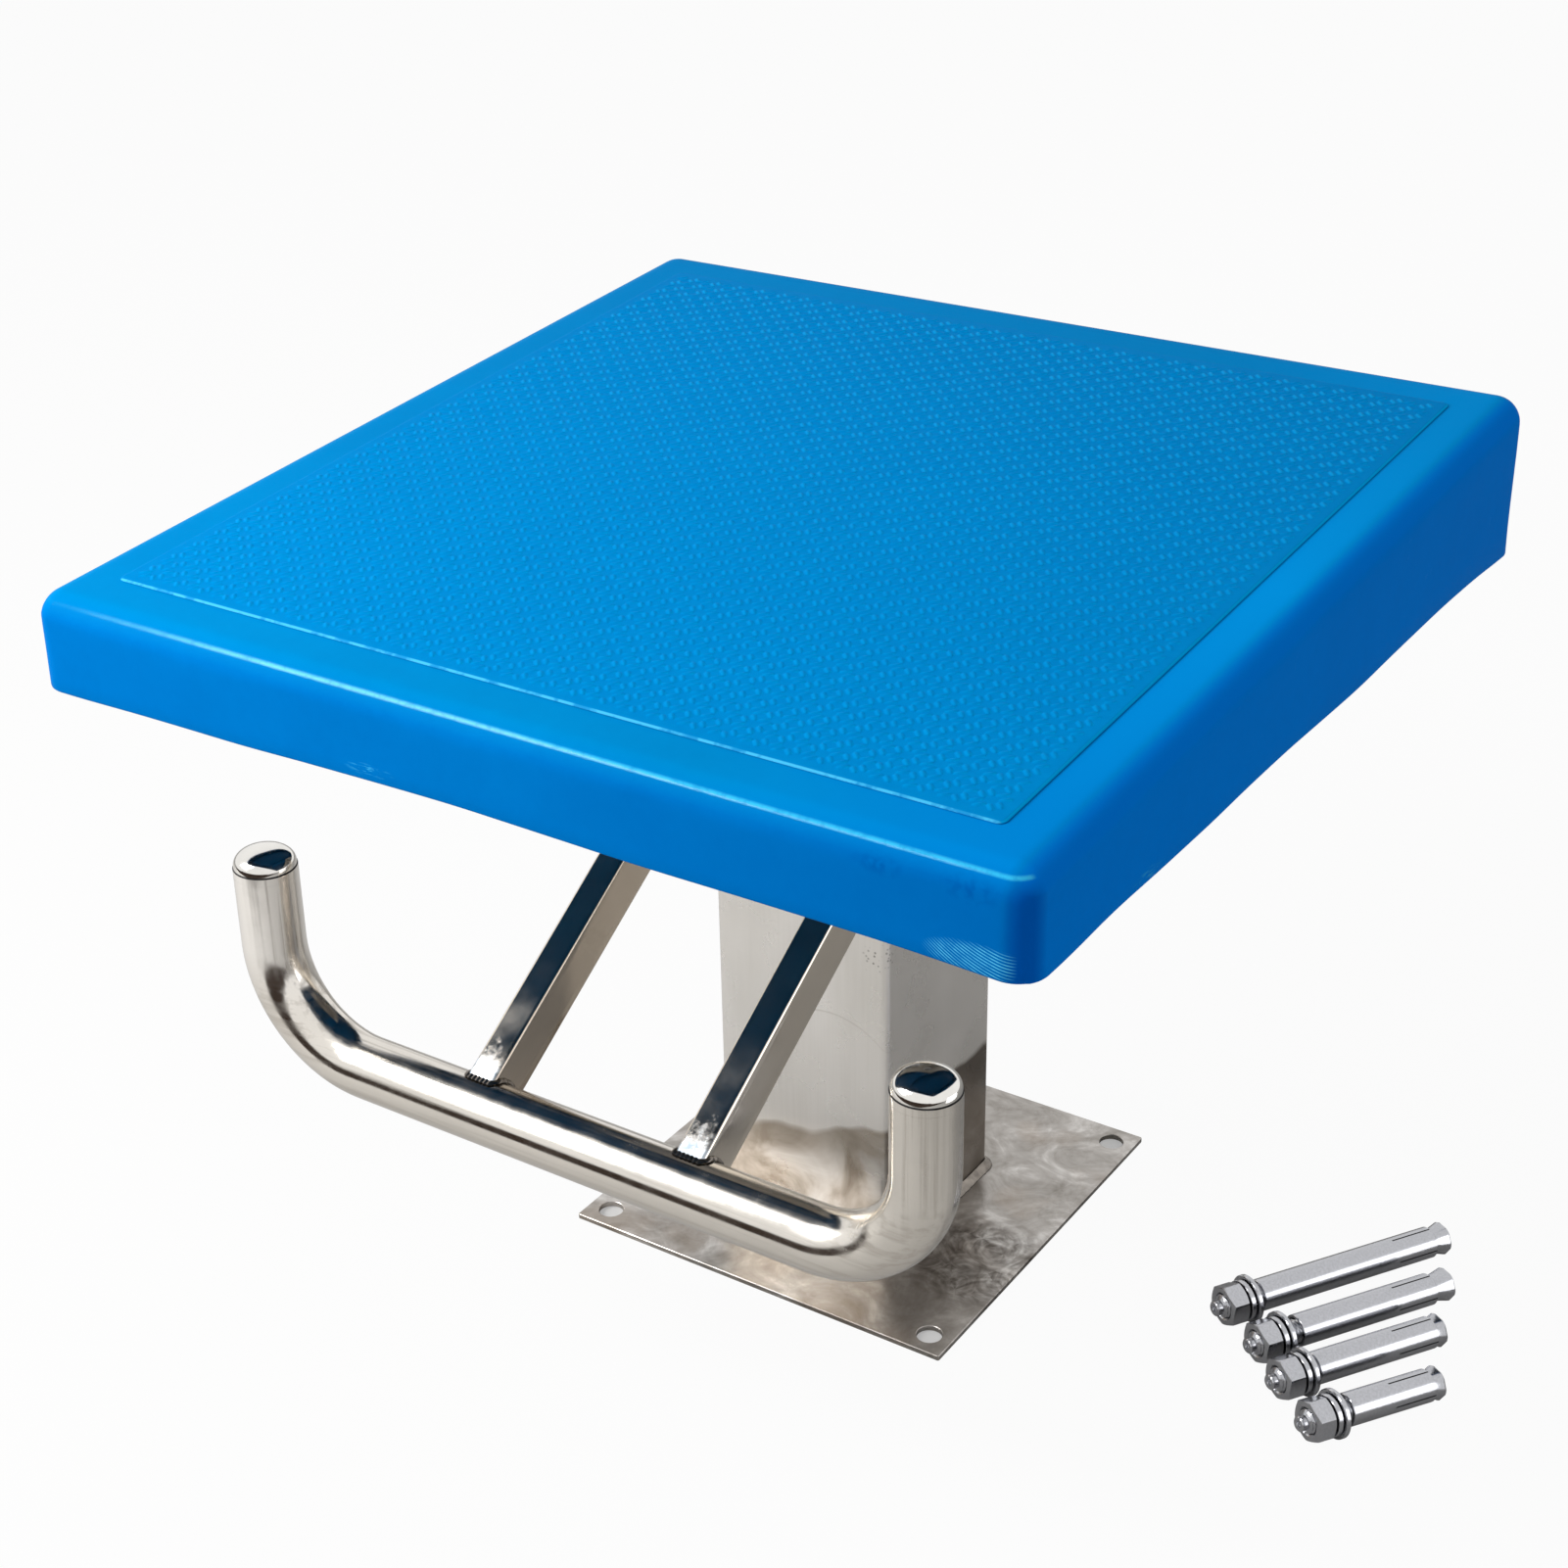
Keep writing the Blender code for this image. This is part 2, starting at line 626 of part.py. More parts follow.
def make_deck_bolts():
    washer_bottom = HEAD_PLATE_BOTTOM - GAP - BOLT_WASHER_THICKNESS
    spring_bottom = washer_bottom - GAP - BOLT_SPRING_THICKNESS - BOLT_SPRING_RISE
    head_top = spring_bottom - GAP
    radius = BOLT_DIAMETER / 2
    bore = BOLT_DIAMETER + 2 * GAP
    for x, y, number in bolt_places():
        axis = bpy.data.objects.new(f"deck_bolt_{number}_axis", None)
        axis.location = (x, y, 0.0)
        bpy.context.scene.collection.objects.link(axis)
        insert_bottom = board_bottom(y) + INSERT_RECESS
        insert_top = insert_bottom + INSERT_HEIGHT
        shank = [
            circle(radius, head_top, SMALL_SIDES),
            circle(radius, insert_top - BOLT_TIP_CHAMFER, SMALL_SIDES),
            circle(radius - BOLT_TIP_CHAMFER, insert_top, SMALL_SIDES),
        ]
        head = hexagon_rings(BOLT_ACROSS_FLATS, head_top - BOLT_HEAD_HEIGHT, head_top, SMALL_SIDES)
        body_from_rings(f"deck_bolt_{number}", head + shank, ZINC_PLATE, holder=axis)
        flat_washer(
            f"deck_bolt_{number}_flat_washer", BOLT_WASHER_DIAMETER, bore, washer_bottom,
            BOLT_WASHER_THICKNESS, ZINC_PLATE, SMALL_SIDES, axis,
        )
        spring_washer(
            f"deck_bolt_{number}_spring_washer", BOLT_SPRING_DIAMETER, bore, spring_bottom,
            BOLT_SPRING_THICKNESS, BOLT_SPRING_RISE, ZINC_PLATE, SMALL_SIDES, axis,
        )
        insert_rings = [
            circle(INSERT_DIAMETER / 2, insert_bottom, SMALL_SIDES),
            circle(INSERT_DIAMETER / 2, insert_top, SMALL_SIDES),
            circle(bore / 2, insert_top, SMALL_SIDES),
            circle(bore / 2, insert_bottom, SMALL_SIDES),
        ]
        body_from_rings(f"insert_nut_{number}", insert_rings, ZINC_PLATE, ring_of_rings=True, holder=axis)


# Expansion anchors, each built along local +Z from its thread's tip to its cone, with local +X downwards

def anchor_lengths():
    parts = zip(THREAD_GAPS, SLEEVE_LENGTHS, CONE_LENGTHS)
    return [WASHER_FACE + thread_gap + sleeve + cone for thread_gap, sleeve, cone in parts]


def anchor_places():
    """Where each thread's tip lies on the ground plan, level with the row's middle."""
    along = Vector((math.cos(ANCHOR_DIRECTION), math.sin(ANCHOR_DIRECTION)))
    across = Vector((along.y, -along.x))
    row_centre = Vector((PLATE_WIDTH / 2 + ANCHOR_ROW_DISTANCE, ANCHOR_ROW_Y))
    offset = -(sum(ANCHOR_ROW_GAPS) + len(ANCHOR_ROW_GAPS) * WASHER_DIAMETER) / 2
    places = []
    for length, shift, gap in zip(anchor_lengths(), ANCHOR_SHIFTS, (*ANCHOR_ROW_GAPS, 0.0)):
        middle = row_centre + across * offset + along * shift
        places.append(middle - along * length / 2)
        offset += WASHER_DIAMETER + gap
    return places


def anchor_axis(number, length, place):
    """An empty on the anchor's axis, which leans so that its washer and its cone both rest on the ground."""
    lean = math.atan((WASHER_DIAMETER - CONE_FLATS) / 2 / (length - CONE_LIP - WASHER_FACE))
    height = WASHER_FACE * math.sin(lean) + WASHER_DIAMETER / 2 * math.cos(lean)
    level = Vector((math.cos(ANCHOR_DIRECTION), math.sin(ANCHOR_DIRECTION), 0.0))
    forward = level * math.cos(lean) - Vector((0.0, 0.0, math.sin(lean)))
    down = -level * math.sin(lean) - Vector((0.0, 0.0, math.cos(lean)))
    sideways = forward.cross(down)
    axis = bpy.data.objects.new(f"anchor_{number}_axis", None)
    turn = Matrix((down, sideways, forward)).transposed().to_4x4()
    axis.matrix_world = Matrix.Translation((place.x, place.y, height)) @ turn
    bpy.context.scene.collection.objects.link(axis)
    return axis


def cone_ring(height, diameter, flats):
    """A circle with six flats on it, one of them down at local +X."""
    ring = []
    for step in range(ROUND_SIDES):
        angle = math.tau * step / ROUND_SIDES
        flat = hexagon_radius(flats, angle + math.radians(30))
        radius = min(diameter / 2, flat)
        ring.append((radius * math.cos(angle), radius * math.sin(angle), height))
    return ring


def make_anchor_stud(number, length, cone_length, axis):
    radius = ANCHOR_DIAMETER / 2
    rings = [
        circle(STUB_DIAMETER / 2 - STUB_CHAMFER, 0.0),
        circle(STUB_DIAMETER / 2, STUB_CHAMFER),
        circle(STUB_DIAMETER / 2, STUB_LENGTH),
        circle(radius, TIP_LENGTH),
        circle(radius, length - cone_length),
        cone_ring(length - CONE_LIP, CONE_DIAMETER, CONE_FLATS),
        cone_ring(length, CONE_DIAMETER - CONE_LIP, CONE_FLATS - CONE_LIP),
    ]
    body_from_rings(f"anchor_{number}_stud", rings, ZINC_PLATE, holder=axis)


def make_anchor_sleeve(number, start, end, axis):
    outer, bore = SLEEVE_DIAMETER / 2, SLEEVE_BORE / 2
    rings = [
        circle(outer, start),
        circle(outer, end - SLEEVE_LIP),
        circle(outer - SLEEVE_LIP, end),
        circle(bore, end),
        circle(bore, start),
    ]
    sleeve = body_from_rings(f"anchor_{number}_sleeve", rings, ZINC_PLATE, ring_of_rings=True, holder=axis)
    half_wide, half_long = SLIT_WIDTH / 2, SLEEVE_DIAMETER
    for letter, half_x, half_y in (("a", half_wide, half_long), ("b", half_long, half_wide)):
        outline = rectangle(-half_x, half_x, -half_y, half_y)
        ends = [at_height(outline, end - SLIT_LENGTH), at_height(outline, end + SLEEVE_WALL)]
        slit = body_from_rings(f"anchor_{number}_slit_{letter}", ends, None, smooth=False, holder=axis)
        hide_cutter(slit)
        cut(sleeve, slit)


def make_anchor_nut(number, start, axis):
    bore = (ANCHOR_DIAMETER + NUT_CLEARANCE) / 2
    rings = hexagon_rings(NUT_ACROSS_FLATS, start, start + NUT_HEIGHT, ROUND_SIDES)
    rings += [
        circle(bore + NUT_COUNTERSINK, start + NUT_HEIGHT),
        circle(bore, start + NUT_HEIGHT - NUT_COUNTERSINK),
        circle(bore, start + NUT_COUNTERSINK),
        circle(bore + NUT_COUNTERSINK, start),
    ]
    body_from_rings(f"anchor_{number}_nut", rings, ZINC_PLATE, ring_of_rings=True, holder=axis)


def make_anchors():
    sizes = zip(anchor_lengths(), SLEEVE_LENGTHS, CONE_LENGTHS, anchor_places())
    for number, (length, sleeve_length, cone_length, place) in enumerate(sizes, 1):
        axis = anchor_axis(number, length, place)
        make_anchor_stud(number, length, cone_length, axis)
        sleeve_end = length - cone_length
        make_anchor_sleeve(number, sleeve_end - sleeve_length, sleeve_end, axis)
        make_anchor_nut(number, TIP_LENGTH, axis)
        spring_washer(
            f"anchor_{number}_spring_washer", SPRING_DIAMETER, ANCHOR_DIAMETER + SPRING_CLEARANCE,
            TIP_LENGTH + NUT_HEIGHT + GAP, SPRING_THICKNESS, SPRING_RISE, ZINC_PLATE, ROUND_SIDES, axis,
        )
        flat_washer(
            f"anchor_{number}_flat_washer", WASHER_DIAMETER, ANCHOR_DIAMETER + WASHER_CLEARANCE,
            WASHER_FACE - WASHER_THICKNESS, WASHER_THICKNESS, ZINC_PLATE, WASHER_SIDES, axis,
        )


def main():
    for thing in list(bpy.data.objects):
        bpy.data.objects.remove(thing, do_unlink=True)
    make_base_plate()
    make_post()
    make_base_weld()
    make_head_plate()
    make_head_welds()
    make_hand_bar()
    make_end_caps()
    make_struts()
    make_strut_welds()
    make_deck_shell()
    make_tread_panel()
    make_core_board()
    make_rails()
    make_deck_bolts()
    make_anchors()


main()
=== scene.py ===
"""Looks of the pool diving platform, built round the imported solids.

Lengths are in metres. +Z is up and the water lies towards -Y.
"""

import json
import math

import bmesh
import bpy
import numpy as np
from mathutils import Matrix, Vector
from mathutils.geometry import tessellate_polygon

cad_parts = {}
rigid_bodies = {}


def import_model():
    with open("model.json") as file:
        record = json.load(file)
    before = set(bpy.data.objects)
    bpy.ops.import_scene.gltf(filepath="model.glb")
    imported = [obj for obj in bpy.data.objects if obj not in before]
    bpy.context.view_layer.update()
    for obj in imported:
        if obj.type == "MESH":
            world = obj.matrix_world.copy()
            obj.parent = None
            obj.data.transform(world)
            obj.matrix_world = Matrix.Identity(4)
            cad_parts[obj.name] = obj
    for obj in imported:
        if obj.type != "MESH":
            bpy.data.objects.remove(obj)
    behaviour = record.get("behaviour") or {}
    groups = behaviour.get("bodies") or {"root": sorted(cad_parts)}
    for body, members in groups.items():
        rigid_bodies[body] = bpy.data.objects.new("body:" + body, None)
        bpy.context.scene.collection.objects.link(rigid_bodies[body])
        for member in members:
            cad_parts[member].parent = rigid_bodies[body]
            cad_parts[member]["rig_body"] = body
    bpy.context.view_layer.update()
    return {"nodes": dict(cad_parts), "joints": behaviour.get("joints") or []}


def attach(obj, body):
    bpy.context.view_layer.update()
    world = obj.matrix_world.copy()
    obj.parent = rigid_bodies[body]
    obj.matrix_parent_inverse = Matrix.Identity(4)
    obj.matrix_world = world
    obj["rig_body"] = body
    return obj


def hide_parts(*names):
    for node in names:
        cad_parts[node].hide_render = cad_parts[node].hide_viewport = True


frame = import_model()

MM = 0.001
UP = Vector((0.0, 0.0, 1.0))
SIDES = (("left", -1), ("right", 1))

# Clearance between neighbouring solids
GAP = 0.3 * MM

# Sizes of the solids that the pieces here stand for, and of the edges and beads added to them
PLATE_WIDTH = 0.220
PLATE_THICKNESS = 0.003
PLATE_HOLE = 0.013
PLATE_HOLE_INSET = 0.0125
PLATE_CORNER_RADIUS = 0.001
POST_WIDTH = 0.100
POST_DEPTH = 0.104
POST_FRONT_Y = -0.060
POST_SHEET = 0.0025
POST_FOLD_RADIUS = 0.004
POST_BOTTOM = PLATE_THICKNESS + GAP
POST_CENTRE_Y = POST_FRONT_Y + POST_DEPTH / 2
DECK_WIDTH = 0.500
DECK_DEPTH = 0.488
DECK_FRONT_Y = -0.291
DECK_BACK_Y = DECK_FRONT_Y + DECK_DEPTH
DECK_CENTRE_Y = DECK_FRONT_Y + DECK_DEPTH / 2
DECK_RIM = 0.348
DECK_FRONT_THICKNESS = 0.043
DECK_BACK_THICKNESS = 0.079
DECK_SLOPE = (DECK_BACK_THICKNESS - DECK_FRONT_THICKNESS) / DECK_DEPTH
DECK_WALL = 0.005
DECK_EDGE_RADIUS = 0.013
DECK_INNER_RADIUS = DECK_EDGE_RADIUS - DECK_WALL
DECK_CORNER_RADIUS = 0.0135
PANEL_FRONT_MARGIN = 0.029
PANEL_SIDE_MARGIN = 0.028
PANEL_BACK_MARGIN = 0.031
BOARD_THICKNESS = 0.012
BOARD_EDGE_CLEARANCE = 0.002
RAIL_X = 0.095
RAIL_WIDTH = 0.040
RAIL_INSET = 0.041
RAIL_FRONT_Y = DECK_FRONT_Y + RAIL_INSET
RAIL_BACK_Y = DECK_BACK_Y - RAIL_INSET
RAIL_CORNER_RADIUS = 0.002
RAIL_EDGE = 0.001
SHEET_EDGE = 0.0005
HEAD_BOTTOM = 0.360
HEAD_TOP = 0.366
HEAD_HALF_WIDTH = 0.120
HEAD_FRONT_Y = -0.122
HEAD_PAST_STRUTS = 0.012
POST_TOP = HEAD_BOTTOM - GAP
BOLT_DIAMETER = 0.010
BOLT_INSET = 0.030
BOLT_HOLE = 0.011
BOLT_HEAD_FLATS = 0.017
BOLT_HEAD_HEIGHT = 0.0063
BOLT_TIP = 0.0014
BOLT_WASHER_RADIUS = 0.010
BOLT_WASHER_THICKNESS = 0.002
BOLT_SPRING_RADIUS = 0.00875
BOLT_SPRING_RISE = 0.0003
INSERT_RADIUS = 0.007
INSERT_HEIGHT = 0.009
INSERT_SINK = 0.0014
INSERT_EDGE = 0.0004
BAR_RADIUS = 0.015
BAR_WALL = 0.0015
BAR_Y = -0.238
BAR_HEIGHT = 0.160
BAR_UPRIGHT_X = 0.177
BAR_UPRIGHT_LENGTH = 0.0355
BAR_BEND_RADIUS = 0.0535
BAR_TUBE_TOP = BAR_HEIGHT + BAR_BEND_RADIUS + BAR_UPRIGHT_LENGTH
CAP_START = 0.00004
CAP_SEAM = 0.0040
CAP_SEAM_DEPTH = 0.0010
CAP_SEAM_FALL = 0.0004
CAP_SEAM_WIDTH = 0.0003
CAP_DOME = 0.0082
CAP_DOME_RADIUS = BAR_RADIUS - 0.0004
CAP_FULLNESS = 2.3
CAP_TIP_RADIUS = 0.0004
CAP_SPIGOT = 0.015
CAP_SPIGOT_EDGE = 0.001
STRUT_WIDTH = 0.015
STRUT_HEIGHT = 0.025
STRUT_WALL = 0.0015
STRUT_CORNER_RADIUS = 0.0018
STRUT_BORE_RADIUS = 0.0005
STRUT_ANGLE = math.radians(32.6)
STRUT_X = POST_WIDTH / 2 + GAP + STRUT_WIDTH / 2
STRUT_REACH = (POST_TOP - BAR_HEIGHT + STRUT_HEIGHT / 2 / math.cos(STRUT_ANGLE)) / math.tan(STRUT_ANGLE)
HEAD_BACK_Y = BAR_Y + STRUT_REACH + HEAD_PAST_STRUTS
BEAD = 0.004
BEAD_SPACING = 0.0005
BAR_BEAD = 0.0018
BAR_BEAD_INSET = 0.0008
BAR_BEAD_RADIUS = 0.0015
BAR_BEAD_LIMIT = BAR_RADIUS - 0.0006

# Anchors: sizes along each axis from the thread's tip
STUD_RADIUS = 0.006
THREAD_PAST_NUT = 0.005
STUB_RADIUS = 0.0038
STUB_LENGTH = 0.0036
NUT_FLATS = 0.019
NUT_HEIGHT = 0.010
NUT_BORE = STUD_RADIUS + 0.00025
NUT_BORE_EDGE = 0.0009
SPRING_BOTTOM = THREAD_PAST_NUT + NUT_HEIGHT + GAP
SPRING_HEIGHT = 0.0034
SPRING_RISE = 0.0008
SPRING_RADIUS = 0.01025
WASHER_BOTTOM = SPRING_BOTTOM + SPRING_HEIGHT + GAP
WASHER_THICKNESS = 0.0025
WASHER_TOP = WASHER_BOTTOM + WASHER_THICKNESS
WASHER_RADIUS = 0.012
WASHER_BORE = STUD_RADIUS + 0.0005
WASHER_EDGE = 0.0004
THREAD_GAPS = (0.0040, 0.0070, 0.0035, 0.0050)
SLEEVE_LENGTHS = (0.106, 0.081, 0.070, 0.048)
SLEEVE_RADIUS = 0.008
SLEEVE_BORE = 0.0066
SLEEVE_NEAR_EDGE = 0.0003
SLEEVE_FAR_EDGE = 0.0005
CONE_LENGTHS = (0.0085, 0.0105, 0.0050, 0.0055)
CONE_RADIUS = 0.00842
CONE_FLATS = 0.0158
CONE_LIP = 0.001
SLIT_LENGTH = 0.024
SLIT_WIDTH = 0.0008
THREAD_PITCH = 0.00175
THREAD_DEPTH = 0.00085
THREAD_ROWS_A_TURN = 8
THREAD_PAST_WASHER = 0.006

# Raised anti-slip panel: short bars laid two by two, each pair across its neighbours
PANEL_WIDTH = DECK_WIDTH - 2 * PANEL_SIDE_MARGIN
PANEL_DEPTH = DECK_DEPTH - PANEL_FRONT_MARGIN - PANEL_BACK_MARGIN
PANEL_FRONT_Y = DECK_FRONT_Y + PANEL_FRONT_MARGIN
PANEL_CENTRE_Y = PANEL_FRONT_Y + PANEL_DEPTH / 2
PANEL_FIELD = 0.0008
PANEL_EDGE = ((0.0, 0.0), (0.0, 0.00015), (0.0003, 0.0005), (0.0008, 0.00078), (0.0015, PANEL_FIELD))
PANEL_CORNER_RADIUS = 0.0035
PANEL_PLAIN_BORDER = 0.005
WEAVE_CELL_X = 0.00724
WEAVE_CELL_Y = 0.00684
WEAVE_RISE = 0.00042
WEAVE_SINK = 0.00005
WEAVE_SPREAD = 0.00180
WEAVE_HALF_LENGTH = 0.0031
WEAVE_HALF_WIDTH = 0.0015
WEAVE_SHOULDER = 0.62
WEAVE_TOP_SHARE = 0.30
WEAVE_END_SLOPE = 0.35
WEAVE_WEAR = (0.75, 1.0)

# Marks of use on the skin and the post, and painted glints on the skin, as places on their faces
NICK = (0.0127, -0.2872, 0.3895)
SMUDGES = (((0.187, -0.291, 0.381), 0.013), ((0.225, -0.291, 0.381), 0.016))
SCUFFS = ((0.25, -0.199, 0.3525), (-0.055, -0.291, 0.3555))
SCUFF_RADIUS = 0.014
BRUSH_MIDDLE = (0.229, -0.291, 0.3545)
BRUSH_PITCH = 0.0013
BRUSH_RADIUS = 0.024
# Painted highlights: small cyan glints on the near corner's edge
CORNER_PAINTED_GLINTS = ((0.2445, -0.2860, 0.3905), (0.2480, -0.2872, 0.3870))
PAINTED_GLINT_RADIUS = 0.0035
POST_PITS = (0.045, -0.060, 0.181)
POST_PITS_RADIUS = 0.011
POST_ARC_CENTRE = (0.018, -0.060, 0.098)
POST_ARC_RADIUS = 0.044
PLATE_STROKES = (0.094, -0.034, 0.003)
PLATE_STROKES_RADIUS = 0.060
# A darker patch painted on the plate in front of the post
PLATE_DARK_SPOT = (0.066, -0.082, 0.003)
PLATE_DARK_RADIUS = 0.055

# Colours, as linear red, green and blue; pairs run from a cloud's dark to its light
RESIN = (0.0, 0.2, 0.6)
RESIN_GLEAM = (0.30, 0.85, 1.0)
# Deck skin, painted light: the front, side and level faces take lit and shaded copies of one blue
FRONT_BLUES = ((0.0, 0.172, 0.56), (0.0, 0.196, 0.61))
# Painted shade on the front face, deepest at its right end
FRONT_PAINTED_SHADE = (0.0, 0.125, 0.48)
# Painted light on the side faces: a lighter, bluer copy of the front's blue
SIDE_PAINTED_LIGHT_BLUES = ((0.0, 0.236, 0.89), (0.0, 0.256, 0.95))
# Painted light on the level faces: a greener copy of the blue
BORDER_BLUES = ((0.0, 0.240, 0.595), (0.0, 0.268, 0.645))
# Painted shade on the level faces towards the back
BORDER_PAINTED_FAR_SHADE = (0.0, 0.16, 0.47)
# Painted light along the right border of the top, brightest midway
RIGHT_BORDER_PAINTED_LIGHT = ((0.1, (0.0, 0.25, 0.74)), (0.5, (0.0, 0.33, 0.87)), (0.9, (0.0, 0.29, 0.75)))
# Painted shade on the rounded upright corner between the front and the right side
CORNER_PAINTED_SHADE = (0.0, 0.09, 0.52)
# Painted light: a deep, bright blue band on the rounded right top edge
RIGHT_EDGE_PAINTED_LIGHT = (0.0, 0.235, 1.0)
SMUDGE_BLUE = (0.0, 0.09, 0.40)
SCUFF_BLUE = (0.05, 0.50, 0.90)
BRUSH_BLUE = (0.12, 0.66, 0.97)
# Colour of the painted glints on the near corner
PAINTED_GLINT_BLUE = (0.06, 0.52, 0.90)
NICK_BLUE = (0.0, 0.10, 0.25)
# Painted highlight along the front top edge
PAINTED_HIGHLIGHT_BLUE = (0.03, 0.60, 0.98)
# Painted shade: the ground between the bars is darker than the bars
GROUND_PAINTED_SHADE_BLUES = ((0.0, 0.248, 0.625), (0.0, 0.268, 0.665))
WEAVE_BLUES = ((0.0, 0.274, 0.668), (0.0, 0.298, 0.708))
MOTTLE_BLUE = (0.0, 0.225, 0.60)
# Painted light on the bars of one direction, stronger towards the back
PAINTED_LIT_BLUE = (0.01, 0.44, 0.90)
# Painted shade on the tread panel towards the back
PANEL_PAINTED_FAR_SHADE = (0.0, 0.17, 0.50)
SPECK_BLUE = (0.03, 0.42, 0.80)
# Painted light on the panel's sides that face along X
PANEL_SIDE_PAINTED_LIGHT = (0.0, 0.52, 1.0)
# Painted highlight along the panel's front edge
PANEL_EDGE_PAINTED_HIGHLIGHT = (0.08, 0.60, 0.93)
INSIDE_BLUES = ((0.0, 0.025, 0.075), (0.0, 0.055, 0.14))
TIMBER_BLUES = ((0.0, 0.030, 0.09), (0.0, 0.060, 0.155))
PLYWOOD_BLUES = ((0.0, 0.027, 0.08), (0.0, 0.055, 0.14))
PLATE_GREYS = (
    (0.39, (0.08, 0.068, 0.054)), (0.45, (0.27, 0.25, 0.225)), (0.51, (0.43, 0.405, 0.38)),
    (0.60, (0.86, 0.84, 0.81)),
)
PLATE_BROWN = (0.36, 0.28, 0.21)
PLATE_STROKE_BROWN = (0.07, 0.058, 0.047)
PLATE_DARK_GREY = (0.17, 0.15, 0.13)
POST_GREYS = ((0.32, (0.78, 0.755, 0.71)), (0.68, (0.93, 0.905, 0.87)))
# Ground clouds of the foot, painted partly as the plate's reflection
FOOT_GROUND_AND_REFLECTION_GREYS = (
    (0.40, (0.33, 0.285, 0.235)), (0.47, (0.50, 0.455, 0.40)), (0.53, (0.64, 0.605, 0.56)),
    (0.62, (0.78, 0.755, 0.72)),
)
# Painted reflection: a brownish band at the top of the foot
FOOT_REFLECTION_BAND = (0.42, 0.365, 0.30)
# Painted shade low on the post's right face
FOOT_PAINTED_SHADE = (0.12, 0.098, 0.08)
# Painted light on the post's right face
POST_SIDE_PAINTED_LIGHT = (1.0, 0.97, 0.93)
PIT_BROWN = (0.10, 0.08, 0.06)
POST_ARC_GREY = (0.45, 0.41, 0.36)
BAR_STREAK = (0.36, 0.32, 0.27)
# Painted reflection: darker on the bar's downward faces
BAR_UNDERSIDE_REFLECTION = (0.42, 0.385, 0.35)
# Painted light on the left upright
LEFT_UPRIGHT_PAINTED_LIGHT = (0.98, 0.95, 0.91)
# Painted reflection: dark brown streaks on the left upright's side towards the post
LEFT_BROWN_REFLECTION = (0.20, 0.16, 0.12)
# Painted reflection: a dark line down the right upright's edge
RIGHT_UPRIGHT_EDGE_REFLECTION = (0.08, 0.07, 0.06)
# Painted shade in seams and slits
SEAM_SHADE_GREYS = ((0.028, 0.026, 0.025), (0.085, 0.082, 0.085))
# Rubbed patch at the struts' low ends, painted bluish as a reflection of the blue deck
STRUT_RUBBED_REFLECTION_BLUES = ((0.30, 0.36, 0.42), (0.66, 0.72, 0.78))
# Painted reflection: darker on the left strut's side towards the post
STRUT_INNER_REFLECTION = (0.46, 0.395, 0.325)

RANDOM = np.random.default_rng(7)


def deck_top(y):
    return DECK_RIM + DECK_FRONT_THICKNESS + DECK_SLOPE * (y - DECK_FRONT_Y)


def board_top(y):
    return deck_top(y) - DECK_WALL - GAP


def board_bottom(y):
    return board_top(y) - BOARD_THICKNESS


# Node graphs

class Graph:
    """A node tree written as plain calls on numbers, colours and other nodes' outputs."""

    def __init__(self, tree):
        self.tree = tree

    def plug(self, socket, value):
        if isinstance(value, bpy.types.NodeSocket):
            self.tree.links.new(value, socket)
        elif socket.type == "RGBA":
            socket.default_value = (*value, 1.0)
        else:
            socket.default_value = value

    def node(self, kind, inputs=None, **settings):
        """A new node, with values for its inputs by name or number."""
        made = self.tree.nodes.new("ShaderNode" + kind)
        for key, value in settings.items():
            setattr(made, key, value)
        for socket, value in (inputs or {}).items():
            self.plug(made.inputs[socket], value)
        return made

    def math(self, operation, first, second=0.0):
        return self.node("Math", {0: first, 1: second}, operation=operation).outputs[0]

    def plus(self, first, second):
        return self.math("ADD", first, second)

    def minus(self, first, second):
        return self.math("SUBTRACT", first, second)

    def times(self, *values):
        product = values[0]
        for value in values[1:]:
            product = self.math("MULTIPLY", product, value)
        return product

    def weighed(self, first, second, share):
        """The sum of the first value's share and the rest of the second value."""
        return self.plus(self.times(first, share), self.times(second, 1 - share))

    def span(self, value, low, high, to_low=0.0, to_high=1.0):
        """Maps a range of the value to another range, without going past its ends."""
        ends = enumerate((value, low, high, to_low, to_high))
        return self.node("MapRange", dict(ends)).outputs["Result"]

    def seen_directly(self):
        """One for what the camera, gloss and clear things see, and nothing for the light that is cast."""
        path = self.node("LightPath").outputs
        mirrored = self.math("MAXIMUM", path["Is Camera Ray"], path["Is Glossy Ray"])
        return self.math("MAXIMUM", mirrored, path["Is Transmission Ray"])


